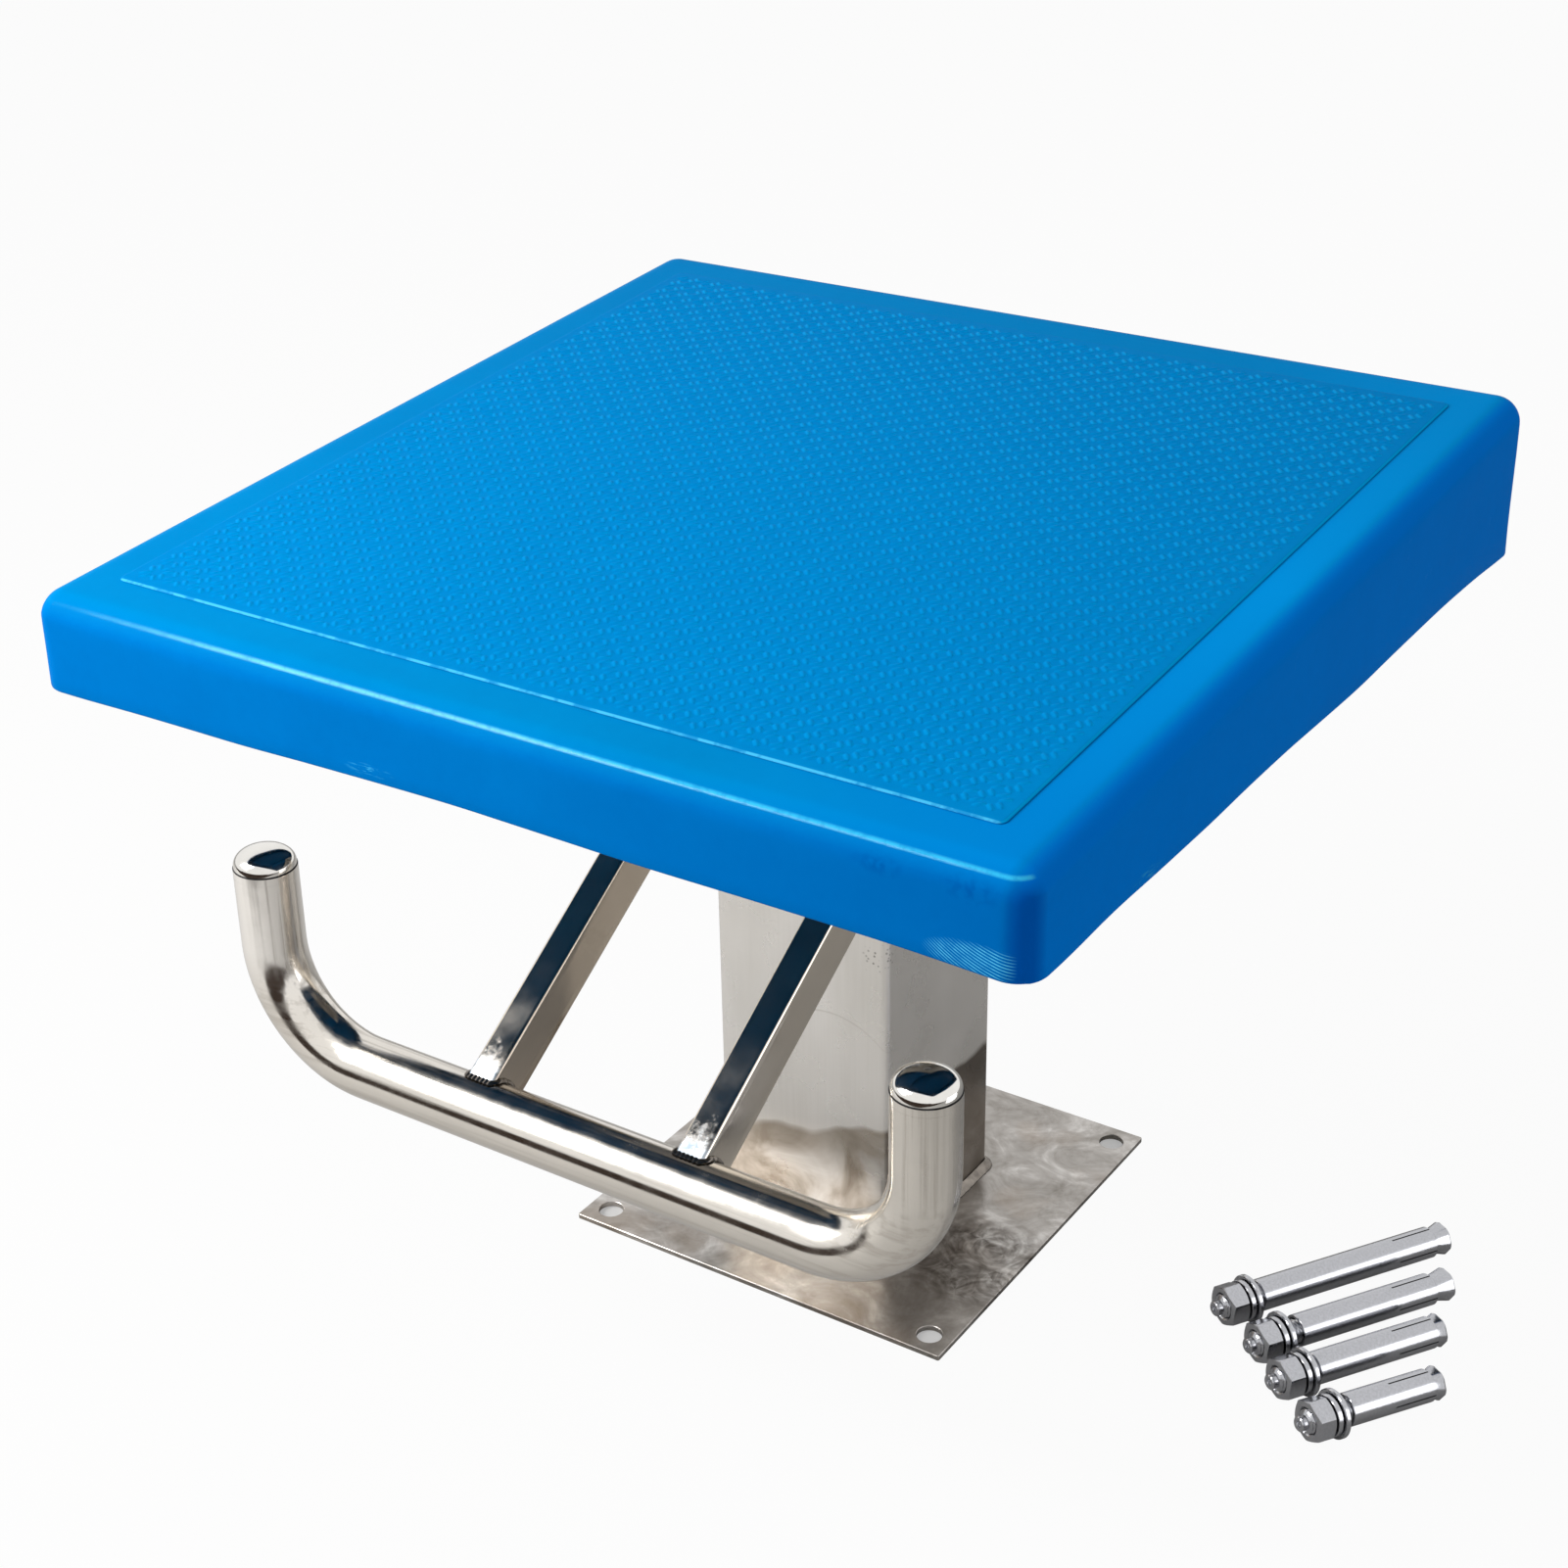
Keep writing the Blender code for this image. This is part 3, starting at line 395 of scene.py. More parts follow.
class Look(Graph):
    """A material whose base colour is painted in layers."""

    def __init__(self, name, roughness, metallic, colour):
        self.material = bpy.data.materials.new(name)
        self.material.use_nodes = True
        self.material.diffuse_color = (*colour, 1.0)
        super().__init__(self.material.node_tree)
        self.shader = self.tree.nodes["Principled BSDF"]
        self.set("Roughness", roughness)
        self.set("Metallic", metallic)
        self.place = self.node("TexCoord").outputs["Object"]
        self.base = colour

    def set(self, socket, value):
        self.plug(self.shader.inputs[socket], value)

    def finished(self):
        self.set("Base Color", self.base)
        return self.material

    def paint(self, share, colour):
        """Covers the base colour with another by the given share."""
        self.base = self.mix(share, self.base, colour)

    def relief(self, *layers):
        """Raises the surface by layers of (height, distance, strength), one on the other."""
        normal = {}
        for height, distance, strength in layers:
            settings = {"Height": height, "Distance": distance, "Strength": strength}
            made = self.node("Bump", {**settings, **normal})
            normal = {"Normal": made.outputs["Normal"]}
        self.set("Normal", made.outputs["Normal"])

    def stretched(self, scale=(1.0, 1.0, 1.0), move=(0.0, 0.0, 0.0)):
        values = {"Vector": self.place, "Scale": scale, "Location": move}
        return self.node("Mapping", values).outputs["Vector"]

    def noise(self, scale, detail=3.0, roughness=0.5, distortion=0.0, place=None):
        values = {"Scale": scale, "Detail": detail, "Roughness": roughness, "Distortion": distortion}
        return self.node("TexNoise", {"Vector": place or self.place, **values}).outputs["Fac"]

    def lines(self, scale, detail=3.0, roughness=0.6, distortion=0.0):
        """Noise that is drawn out along the axes of small scale."""
        return self.noise(1.0, detail, roughness, distortion, self.stretched(scale))

    def voronoi(self, scale, place=None):
        return self.node("TexVoronoi", {"Vector": place or self.place, "Scale": scale}).outputs

    def vector(self, operation, first, second=(0.0, 0.0, 0.0)):
        made = self.node("VectorMath", {0: first, 1: second}, operation=operation)
        return made.outputs["Value" if operation in ("LENGTH", "DISTANCE") else "Vector"]

    def ramp(self, value, *stops):
        made = self.node("ValToRGB", {"Fac": value})
        elements = made.color_ramp.elements
        while len(elements) < len(stops):
            elements.new(1.0)
        for element, (position, colour) in zip(elements, stops):
            element.position = position
            element.color = (*colour, 1.0)
        return made.outputs["Color"]

    def two_tone(self, value, colours, low=0.30, high=0.70):
        return self.ramp(value, (low, colours[0]), (high, colours[1]))

    def mix(self, share, first, second):
        return self.node("Mix", {"Factor": share, 6: first, 7: second}, data_type="RGBA").outputs[2]

    def axis(self, name):
        return self.node("SeparateXYZ", {0: self.place}).outputs[name]

    def facing(self, name):
        """How far the surface faces along an axis of the object, from -1 to 1."""
        normal = self.node("TexCoord").outputs["Normal"]
        return self.node("SeparateXYZ", {0: normal}).outputs[name]

    def near(self, point, radius, squeeze=(1.0, 1.0, 1.0)):
        """One at a point of the object, falling to nothing at the radius, which is less where squeezed."""
        away = self.vector("MULTIPLY", self.vector("SUBTRACT", self.place, point), squeeze)
        return self.span(self.vector("LENGTH", away), 0.0, radius, 1.0, 0.0)


def gelcoat(name):
    """Pigmented resin. The skin's look built on it paints the level faces greener than the upright ones, as
    painted light.
    """
    look = Look(name, 0.3, 0.0, RESIN)
    look.set("Specular IOR Level", 0.0015)
    look.set("Specular Tint", RESIN_GLEAM)
    look.set("Coat Roughness", 0.10)
    look.tone = look.weighed(look.noise(14.0, 4.0, 0.55), look.noise(160.0, 3.0, 0.6), 0.7)
    look.from_front = (look.axis("Y"), DECK_FRONT_Y, DECK_BACK_Y)
    look.set("Roughness", look.span(look.noise(45.0, 4.0, 0.6), 0.3, 0.7, 0.16, 0.28))
    look.relief(
        (look.noise(38.0, 2.0), 0.0007, 0.3), (look.noise(240.0, 2.0), 0.00008, 0.4),
        (look.noise(1500.0, 2.0, 0.6), 0.00002, 0.3),
    )
    return look


def brush_marks(look):
    """A fan of fine curved strokes in the front face's lower corner."""
    x, z = look.axis("X"), look.axis("Z")
    from_middle = look.minus(x, BRUSH_MIDDLE[0])
    curl = look.times(from_middle, from_middle, 9.0)
    phase = look.minus(look.plus(z, look.times(x, 0.35)), curl)
    lines = look.span(look.math("SINE", look.times(phase, math.tau / BRUSH_PITCH)), 0.1, 0.9)
    reach = look.span(look.near(BRUSH_MIDDLE, BRUSH_RADIUS, (1.0, 1.0, 3.4)), 0.0, 0.35)
    front_only = look.span(look.facing("Y"), -0.97, -0.85, 1.0, 0.0)
    return look.times(lines, reach, front_only, look.span(look.noise(240.0, 2.0), 0.35, 0.6, 0.45, 1.0))


def gelcoat_outside():
    """The moulded skin: painted light and shade on its faces, edges and corner, a glossier front edge with a
    painted highlight along it, painted glints on the near corner, brush marks, scuffs, a nick and faint
    smudges.
    """
    look = gelcoat("blue_gelcoat")
    x_facing, y_facing, z_facing = (look.facing(name) for name in "XYZ")
    towards_front = look.times(y_facing, -1.0)
    # Painted shade: the front face darkens towards its right end
    shade = look.span(look.axis("X"), 0.0, DECK_WIDTH / 2, 0.0, 0.5)
    front = look.mix(shade, look.two_tone(look.tone, FRONT_BLUES), FRONT_PAINTED_SHADE)
    # Painted light: faces turned along X take a lighter, bluer copy of the blue
    upright = look.mix(look.span(x_facing, 0.3, 0.9), front, look.two_tone(look.tone, SIDE_PAINTED_LIGHT_BLUES))
    # Painted shade: the level faces darken towards the back
    far = look.span(*look.from_front, 0.0, 0.3)
    level = look.mix(far, look.two_tone(look.tone, BORDER_BLUES), BORDER_PAINTED_FAR_SHADE)
    # Painted light: the right border of the top takes its own blues along its length
    right = look.span(look.axis("X"), 0.10, DECK_WIDTH / 2 - 0.02, 0.0, 0.8)
    level = look.mix(right, level, look.ramp(look.span(*look.from_front), *RIGHT_BORDER_PAINTED_LIGHT))
    # Painted light: level faces take a greener copy of the blue than upright faces
    look.base = look.mix(look.span(z_facing, 0.35, 0.95), upright, level)
    # Painted shade: the upright corner between the front and the right side is darker
    look.paint(look.span(look.times(x_facing, towards_front), 0.12, 0.46, 0.0, 0.75), CORNER_PAINTED_SHADE)
    # Painted light: a deep, bright blue band on the rounded right top edge
    look.paint(look.span(look.times(x_facing, z_facing), 0.22, 0.46, 0.0, 0.65), RIGHT_EDGE_PAINTED_LIGHT)
    patchy = look.span(look.noise(300.0, 3.0), 0.4, 0.6)
    for place, radius in SMUDGES:
        look.paint(look.times(look.near(place, radius, (1.0, 1.0, 2.6)), patchy, 0.6), SMUDGE_BLUE)
    scratches = look.span(look.lines((160.0, 160.0, 1400.0)), 0.52, 0.60)
    for place in SCUFFS:
        look.paint(look.times(look.near(place, SCUFF_RADIUS, (1.0, 1.0, 4.5)), scratches), SCUFF_BLUE)
    look.paint(brush_marks(look), BRUSH_BLUE)
    # Painted highlights: small glints on the near corner
    for place in CORNER_PAINTED_GLINTS:
        look.paint(look.span(look.near(place, PAINTED_GLINT_RADIUS), 0.0, 0.5), PAINTED_GLINT_BLUE)
    look.paint(look.span(look.near(NICK, 0.0030, (1.0, 2.6, 2.6)), 0.0, 0.4), NICK_BLUE)
    # The front top edge: a glossier coat and a painted highlight line, fading out to the left and broken by
    # noise
    off_middle = look.math("ABSOLUTE", look.minus(z_facing, 0.735))
    edge = look.times(look.span(off_middle, 0.015, 0.065, 1.0, 0.0), look.span(towards_front, 0.25, 0.40))
    faded = look.span(look.axis("X"), -0.225, -0.11, 0.06, 1.0)
    broken = look.span(look.noise(260.0, 3.0, 0.7), 0.36, 0.52, 0.65, 1.0)
    gloss_and_painted_highlight = look.times(edge, faded, broken)
    look.paint(look.times(gloss_and_painted_highlight, 0.8), PAINTED_HIGHLIGHT_BLUE)
    look.set("Coat Weight", look.times(gloss_and_painted_highlight, 0.34))
    return look.finished()


def gelcoat_tread(name, lit_share=0.0):
    """The anti-slip face: the ground between the bars painted darker than the bars as painted shade, bar
    tops painted lighter by the given share and more towards the back as painted light, painted shade towards
    the back, mottling, light specks, painted light on the panel's sides along X and a painted highlight
    along its front edge.
    """
    look = gelcoat(name)
    level = look.minus(look.axis("Z"), look.times(look.axis("Y"), DECK_SLOPE))
    ground = deck_top(0.0) + GAP + PANEL_FIELD
    tops_mask = look.span(level, ground, ground + 0.8 * WEAVE_RISE)
    # Painted shade: the ground between the bars takes a darker blue than the bar tops
    look.base = look.mix(tops_mask, *(look.two_tone(look.tone, blues) for blues in (GROUND_PAINTED_SHADE_BLUES, WEAVE_BLUES)))
    look.paint(look.span(look.noise(230.0, 4.0, 0.7), 0.40, 0.60, 0.0, 0.45), MOTTLE_BLUE)
    # Painted light: bar tops painted lighter by the given share, more so towards the back
    far = look.span(look.axis("Y"), DECK_FRONT_Y + 0.17, DECK_BACK_Y, 0.1, 1.0)
    look.paint(look.times(tops_mask, far, lit_share), PAINTED_LIT_BLUE)
    # Painted shade: the panel darkens towards the back
    look.paint(look.span(*look.from_front, 0.0, 0.36), PANEL_PAINTED_FAR_SHADE)
    specks = look.span(look.voronoi(420.0)["Distance"], 0.0, 0.10, 1.0, 0.0)
    sparse = look.span(look.noise(60.0, 2.0), 0.56, 0.66)
    look.paint(look.times(specks, sparse, 0.5), SPECK_BLUE)
    # Painted light: the panel's sides facing along X are lighter
    look.paint(look.span(look.facing("X"), 0.2, 0.6, 0.0, 0.9), PANEL_SIDE_PAINTED_LIGHT)
    # Painted highlight: a broken pale line along the panel's front edge
    front_edge = look.span(look.axis("Y"), PANEL_FRONT_Y + 0.0006, PANEL_FRONT_Y + 0.0011, 1.0, 0.0)
    broken = look.span(look.noise(110.0, 3.0, 0.6), 0.40, 0.52, 0.25, 1.0)
    look.paint(look.times(front_edge, broken, 0.85), PANEL_EDGE_PAINTED_HIGHLIGHT)
    return look.finished()


def laminate():
    """The skin's unfinished inside: dark resin over woven glass."""
    look = Look("blue_laminate", 0.4, 0.0, (0.0, 0.04, 0.10))
    look.set("Specular IOR Level", 0.1)
    fibres = look.noise(300.0, 3.0, 0.7, 1.5)
    look.base = look.two_tone(look.weighed(look.noise(22.0, 4.0, 0.6), fibres, 0.6), INSIDE_BLUES)
    look.relief((fibres, 0.0005, 0.6))
    return look.finished()


def swirls(look, scale, fineness, move):
    """Arcs of scratches round scattered centres, as a grinding disc leaves them."""
    place = look.stretched(move=move)
    cells = look.voronoi(scale, place)
    reach = look.vector("SUBTRACT", place, cells["Position"])
    x, y, z = look.node("SeparateXYZ", {0: reach}).outputs
    angle = look.math("ARCTAN2", y, look.plus(x, z))
    shift = look.node("SeparateColor", {0: cells["Color"]}).outputs[0]
    distance = look.times(look.vector("LENGTH", reach), fineness)
    around = {0: distance, 1: look.times(angle, 1.3), 2: look.times(shift, 40.0)}
    streaks = look.noise(1.0, 2.0, 0.5, 0.0, look.node("CombineXYZ", around).outputs[0])
    weight = look.span(look.times(cells["Distance"], scale), 0.35, 0.75, 1.0, 0.15)
    return look.plus(look.times(look.minus(streaks, 0.5), weight), 0.5)


def plate_steel():
    """Thin sheet ground all over with a disc: arcs of scratches, cloudy grey and brown heat stains."""
    look = Look("ground_plate", 0.38, 1.0, (0.33, 0.31, 0.29))
    broad = swirls(look, 26.0, 270.0, (0.0, 0.0, 0.0))
    arcs = look.weighed(broad, swirls(look, 41.0, 420.0, (0.31, 0.17, 0.0)), 0.6)
    look.base = look.ramp(look.weighed(arcs, look.noise(26.0, 5.0, 0.6, 1.5), 0.72), *PLATE_GREYS)
    stained = look.noise(17.0, 3.0, 0.5, 0.0, look.stretched(move=(0.7, 0.2, 0.0)))
    look.paint(look.times(look.span(stained, 0.52, 0.66), 0.35), PLATE_BROWN)
    worked = look.span(look.near(PLATE_STROKES, PLATE_STROKES_RADIUS, (1.0, 1.5, 1.0)), 0.0, 0.4)
    look.paint(look.times(worked, look.span(arcs, 0.475, 0.525, 0.9, 0.0)), PLATE_STROKE_BROWN)
    # A darker grey patch painted on the plate in front of the post
    look.paint(look.span(look.near(PLATE_DARK_SPOT, PLATE_DARK_RADIUS), 0.0, 0.6, 0.0, 0.3), PLATE_DARK_GREY)
    look.set("Roughness", look.span(arcs, 0.35, 0.65, 0.24, 0.42))
    look.relief((arcs, 0.0004, 0.5), (look.noise(48.0, 3.0, 0.6), 0.0008, 0.35))
    return look.finished()


def post_steel():
    """Satin sheet with fine upright rolling lines and soft clouds, a hand-ground foot whose clouds are
    painted partly as the plate's reflection, a painted reflection band at the foot's top, painted shade low
    on the right side and painted light above it.
    """
    look = Look("satin_post", 0.3, 1.0, (0.57, 0.535, 0.49))
    lines = look.lines((500.0, 500.0, 16.0))
    broad = look.lines((26.0, 26.0, 10.0), 2.0, 0.5)
    look.base = look.ramp(look.weighed(lines, broad, 0.22), *POST_GREYS)
    arcs = swirls(look, 21.0, 240.0, (0.11, 0.07, 0.23))
    # The foot's ground clouds, painted partly as the plate's reflection
    ground = look.ramp(look.weighed(look.noise(30.0, 4.0, 0.55, 1.0), arcs, 0.6), *FOOT_GROUND_AND_REFLECTION_GREYS)
    slanted = look.minus(look.axis("Z"), look.times(look.axis("X"), 0.26))
    height = look.plus(slanted, look.times(look.noise(22.0, 2.0), 0.022))
    foot = look.span(height, 0.078, 0.082, 1.0, 0.0)
    right_side = look.span(look.facing("X"), 0.5, 0.9)
    look.paint(foot, ground)
    # Painted reflection: a brownish band along the top of the foot
    look.paint(look.times(look.span(height, 0.056, 0.078), foot, 0.7), FOOT_REFLECTION_BAND)
    # Painted shade: the right face is dark at the foot
    look.paint(look.times(right_side, foot, 0.8), FOOT_PAINTED_SHADE)
    # Painted light: the right face is painted lighter above the foot
    look.paint(look.times(right_side, look.minus(1.0, foot), 0.7), POST_SIDE_PAINTED_LIGHT)
    pitted = look.span(look.voronoi(420.0)["Distance"], 0.18, 0.32, 1.0, 0.0)
    look.paint(look.times(look.near(POST_PITS, POST_PITS_RADIUS), pitted), PIT_BROWN)
    off_ring = look.minus(look.vector("DISTANCE", look.place, POST_ARC_CENTRE), POST_ARC_RADIUS)
    arc = look.span(look.math("ABSOLUTE", off_ring), 0.0, 0.0007, 0.35, 0.0)
    look.paint(look.times(arc, look.span(look.axis("Z"), 0.125, 0.14)), POST_ARC_GREY)
    look.set("Roughness", look.span(look.noise(26.0, 4.0), 0.3, 0.7, 0.24, 0.34))
    look.relief((lines, 0.00006, 0.3), (broad, 0.0008, 0.25))
    return look.finished()


def steel(name, colour, roughness, cloud_scale, spread):
    """Bare metal whose colour drifts in clouds by the given spread."""
    look = Look(name, roughness, 1.0, colour)
    ends = [tuple(min(1.0, channel * share) for channel in colour) for share in (1 - spread, 1 + spread)]
    look.base = look.two_tone(look.noise(cloud_scale, 5.0, 0.6), ends, 0.32, 0.68)
    return look


def bar_steel():
    """Mirror-polished tube with faint polishing lines along it and smears, and painted reflections: darker
    faces turned down, a lighter left upright with dark brown streaks on its side towards the post, and a
    dark line down one edge of the right upright.
    """
    look = steel("polished_tube", (0.74, 0.70, 0.64), 0.12, 26.0, 0.04)
    upright = look.span(look.axis("Z"), BAR_HEIGHT + 0.025, BAR_HEIGHT + BAR_BEND_RADIUS)
    level_lines = look.times(look.lines((5.0, 240.0, 240.0)), look.minus(1.0, upright))
    lines = look.plus(level_lines, look.times(look.lines((260.0, 260.0, 5.0)), upright))
    left_end = look.span(look.axis("X"), -0.05, 0.05, 1.0, 0.0)
    right_end = look.span(look.axis("X"), -0.05, 0.05)
    streak = look.span(lines, 0.40, 0.52, 0.30, 0.0)
    look.paint(streak, BAR_STREAK)
    # Painted reflection: faces turned down are darker
    look.paint(look.span(look.facing("Z"), -0.15, -0.55, 0.0, 0.6), BAR_UNDERSIDE_REFLECTION)
    # Painted light: the left upright is lighter
    look.paint(look.times(upright, left_end, 0.8), LEFT_UPRIGHT_PAINTED_LIGHT)
    # Painted reflection: dark brown streaks on the left upright's side towards the post
    inner_side = look.span(look.facing("X"), 0.45, 0.75)
    brown_reflection = look.times(upright, left_end, inner_side, look.span(lines, 0.40, 0.50, 0.5, 0.15))
    look.paint(brown_reflection, LEFT_BROWN_REFLECTION)
    # Painted reflection: a dark line down the right upright's edge facing -X
    dark_edge_reflection = look.span(look.facing("X"), -0.82, -0.75, 0.9, 0.0)
    look.paint(look.times(upright, right_end, dark_edge_reflection), RIGHT_UPRIGHT_EDGE_REFLECTION)
    smear = look.span(look.noise(60.0, 5.0, 0.65, 0.8), 0.35, 0.75, 0.10, 0.20)
    look.set("Roughness", look.plus(smear, look.times(streak, 0.35)))
    look.relief((look.noise(34.0, 2.0), 0.0009, 0.14), (lines, 0.00008, 0.15))
    return look.finished()


def cap_steel():
    look = steel("polished_cap", (0.80, 0.78, 0.74), 0.07, 90.0, 0.04)
    look.set("Roughness", look.span(look.noise(120.0, 4.0), 0.35, 0.7, 0.07, 0.14))
    look.relief((look.noise(160.0, 2.0), 0.0002, 0.05))
    return look.finished()


def shadowed_metal():
    """Dark metal painted into seams, slits and the hidden stud, as painted shade in those gaps."""
    look = Look("painted_shade_seam", 0.55, 0.6, (0.05, 0.047, 0.045))
    mottle = look.noise(500.0, 3.0, 0.6)
    look.base = look.two_tone(mottle, SEAM_SHADE_GREYS, 0.35)
    look.relief((mottle, 0.0001, 0.4))
    return look.finished()


def strut_steel():
    """Polished rectangular tube, rubbed dull near the hand bar, where its top faces are painted in bluish
    tones as the blue deck's reflection; the left strut's inner side is painted darker as a reflection.
    """
    look = steel("polished_strut", (0.86, 0.785, 0.68), 0.12, 30.0, 0.05)
    height = look.plus(look.axis("Z"), look.times(look.noise(160.0, 4.0, 0.7), 0.03))
    tops_mask = look.times(look.span(height, 0.190, 0.200, 1.0, 0.0), look.span(look.facing("Z"), 0.3, 0.6))
    smooth = look.span(look.noise(45.0, 4.0), 0.3, 0.7, 0.08, 0.2)
    look.set("Roughness", look.plus(smooth, look.times(tops_mask, 0.28)))
    patchy = look.span(look.noise(210.0, 4.0, 0.65), 0.45, 0.58)
    # Painted reflection: bluish tones on the rubbed top faces
    look.paint(tops_mask, look.mix(patchy, *STRUT_RUBBED_REFLECTION_BLUES))
    # Painted reflection: the left strut's side facing +X is darker
    left_strut = look.span(look.axis("X"), -0.04, 0.04, 0.75, 0.0)
    look.paint(look.times(look.span(look.facing("X"), 0.5, 0.9), left_strut), STRUT_INNER_REFLECTION)
    look.relief((look.lines((900.0, 60.0, 60.0)), 0.00003, 0.4))
    return look.finished()


def weld_metal():
    look = steel("weld_bead", (0.23, 0.205, 0.18), 0.26, 140.0, 0.35)
    look.relief((look.noise(700.0, 3.0), 0.0002, 0.5))
    return look.finished()


def zinc():
    """Bright zinc plate with a fine frosty grain."""
    look = steel("zinc_plate", (0.47, 0.475, 0.50), 0.24, 900.0, 0.07)
    look.set("Roughness", look.span(look.noise(320.0, 4.0, 0.7), 0.3, 0.7, 0.16, 0.24))
    look.relief((look.noise(1400.0, 3.0), 0.00005, 0.5))
    return look.finished()


def dull_steel():
    look = steel("dull_sheet", (0.42, 0.40, 0.37), 0.45, 40.0, 0.2)
    look.relief((look.noise(900.0, 3.0), 0.00006, 0.5))
    return look.finished()


def over_laminate(name, scale, blues):
    """Timber or plywood laminated over with blue resin: the grain shows faintly through it."""
    look = Look(name, 0.35, 0.0, blues[1])
    look.set("Specular IOR Level", 0.1)
    grain = look.lines(scale, 5.0, 0.62, 1.6)
    fibres = look.noise(260.0, 3.0, 0.7, 1.5)
    look.base = look.two_tone(look.weighed(grain, fibres, 0.6), blues, 0.32, 0.68)
    look.set("Roughness", look.span(look.noise(50.0), 0.3, 0.7, 0.28, 0.48))
    look.relief((grain, 0.0006, 0.4), (fibres, 0.0003, 0.5))
    return look.finished()


LOOKS = {
    "gelcoat": gelcoat_outside(),
    "tread": gelcoat_tread("blue_tread"),
    # Bars of one direction, with painted light on them
    "painted_lit_tread": gelcoat_tread("blue_tread_lit_bars", 0.8),
    "laminate": laminate(),
    "plate": plate_steel(),
    "post": post_steel(),
    "bar": bar_steel(),
    "cap": cap_steel(),
    # Painted shade for seams and slits
    "seam": shadowed_metal(),
    "strut": strut_steel(),
    "weld": weld_metal(),
    "zinc": zinc(),
    "dull": dull_steel(),
    "timber": over_laminate("resin_timber", (60.0, 5.0, 60.0), TIMBER_BLUES),
    "plywood": over_laminate("resin_plywood", (8.0, 70.0, 40.0), PLYWOOD_BLUES),
}


# Building blocks

ROUND_SIDES = 64
NUT_SIDES = 96
HOLE_SIDES = 40
EDGE = 0.0003
SPRING_EDGE = 0.00025
SPRING_OPENING = math.radians(16)
HEXAGON_TURN = math.radians(30)
NUT_FACE_SHARE = 0.955
NUT_CREST_SHARE = 0.985


def add_object(name, data):
    made = bpy.data.objects.new(name, data)
    bpy.context.scene.collection.objects.link(made)
    return made


def add_piece(node, shape, looks, sharp=35.0):
    """A piece that stands for one node of the solids and rides on that node's body.

    Its shape is points and faces, and each face's number among the looks where there are several.
    """
    points, faces, *slots = shape
    mesh = bpy.data.meshes.new(node + ".look")
    mesh.from_pydata([tuple(point) for point in points], [], faces)
    for look in looks:
        mesh.materials.append(LOOKS[look])
    if slots:
        mesh.polygons.foreach_set("material_index", slots[0])
    body = bmesh.new()
    body.from_mesh(mesh)
    bmesh.ops.recalc_face_normals(body, faces=body.faces)
    body.to_mesh(mesh)
    body.free()
    mesh.shade_smooth()
    mesh.set_sharp_from_angle(angle=math.radians(sharp))
    piece = add_object(node + ".look", mesh)
    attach(piece, frame["nodes"][node]["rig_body"])
    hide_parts(node)


def add_weld(node, shape):
    add_piece(node, shape, ("weld",), sharp=50.0)


def ring_faces(start, count, rows, closed=False):
    """Faces between rings of equal point counts, whose points are numbered on from start."""
    faces = []
    for row in range(rows if closed else rows - 1):
        low = start + row * count
        high = start + (row + 1) % rows * count
        for index in range(count):
            after = (index + 1) % count
            faces.append((low + index, low + after, high + after, high + index))
    return faces


def loft(rings, closed=False, start=0):
    """A shape through rings of equal point counts, capped at both ends or closed on itself."""
    count = len(rings[0])
    rows = len(rings)
    faces = ring_faces(start, count, rows, closed)
    if not closed:
        faces.append(tuple(range(start + count - 1, start - 1, -1)))
        faces.append(tuple(range(start + (rows - 1) * count, start + rows * count)))
    return [point for ring in rings for point in ring], faces


def polar(radius, angle, z=0.0):
    return radius * math.cos(angle), radius * math.sin(angle), z


def circle(radius, z, sides):
    return [polar(radius, math.tau * step / sides, z) for step in range(sides)]


def rounded_rectangle(half_x, half_y, radius, centre_y=0.0, steps=8, side_steps=1):
    """Points (x, y) round a rectangle whose corners are arcs and whose sides are cut into steps."""
    points = []
    for quarter, (side_x, side_y) in enumerate(((1, 1), (-1, 1), (-1, -1), (1, -1))):
        for step in range(steps + 1):
            x, y, _ = polar(radius, math.pi / 2 * (quarter + step / steps))
            points.append((side_x * (half_x - radius) + x, side_y * (half_y - radius) + y + centre_y))
        turn = math.pi / 2 * (quarter + 1)
        length = 2 * ((half_x if quarter % 2 == 0 else half_y) - radius)
        start_x, start_y = points[-1]
        for step in range(1, side_steps):
            share = length * step / side_steps
            points.append((start_x - math.sin(turn) * share, start_y + math.cos(turn) * share))
    return points


def rectangle_between(half_x, front, back, radius=0.0015):
    return rounded_rectangle(half_x, (back - front) / 2, radius, (front + back) / 2, 4)


def outward(outline, index):
    """The direction away from a closed outline at one of its points."""
    x0, y0 = outline[index - 1]
    x1, y1 = outline[(index + 1) % len(outline)]
    along = Vector((x1 - x0, y1 - y0)).normalized()
    return Vector((along.y, -along.x))


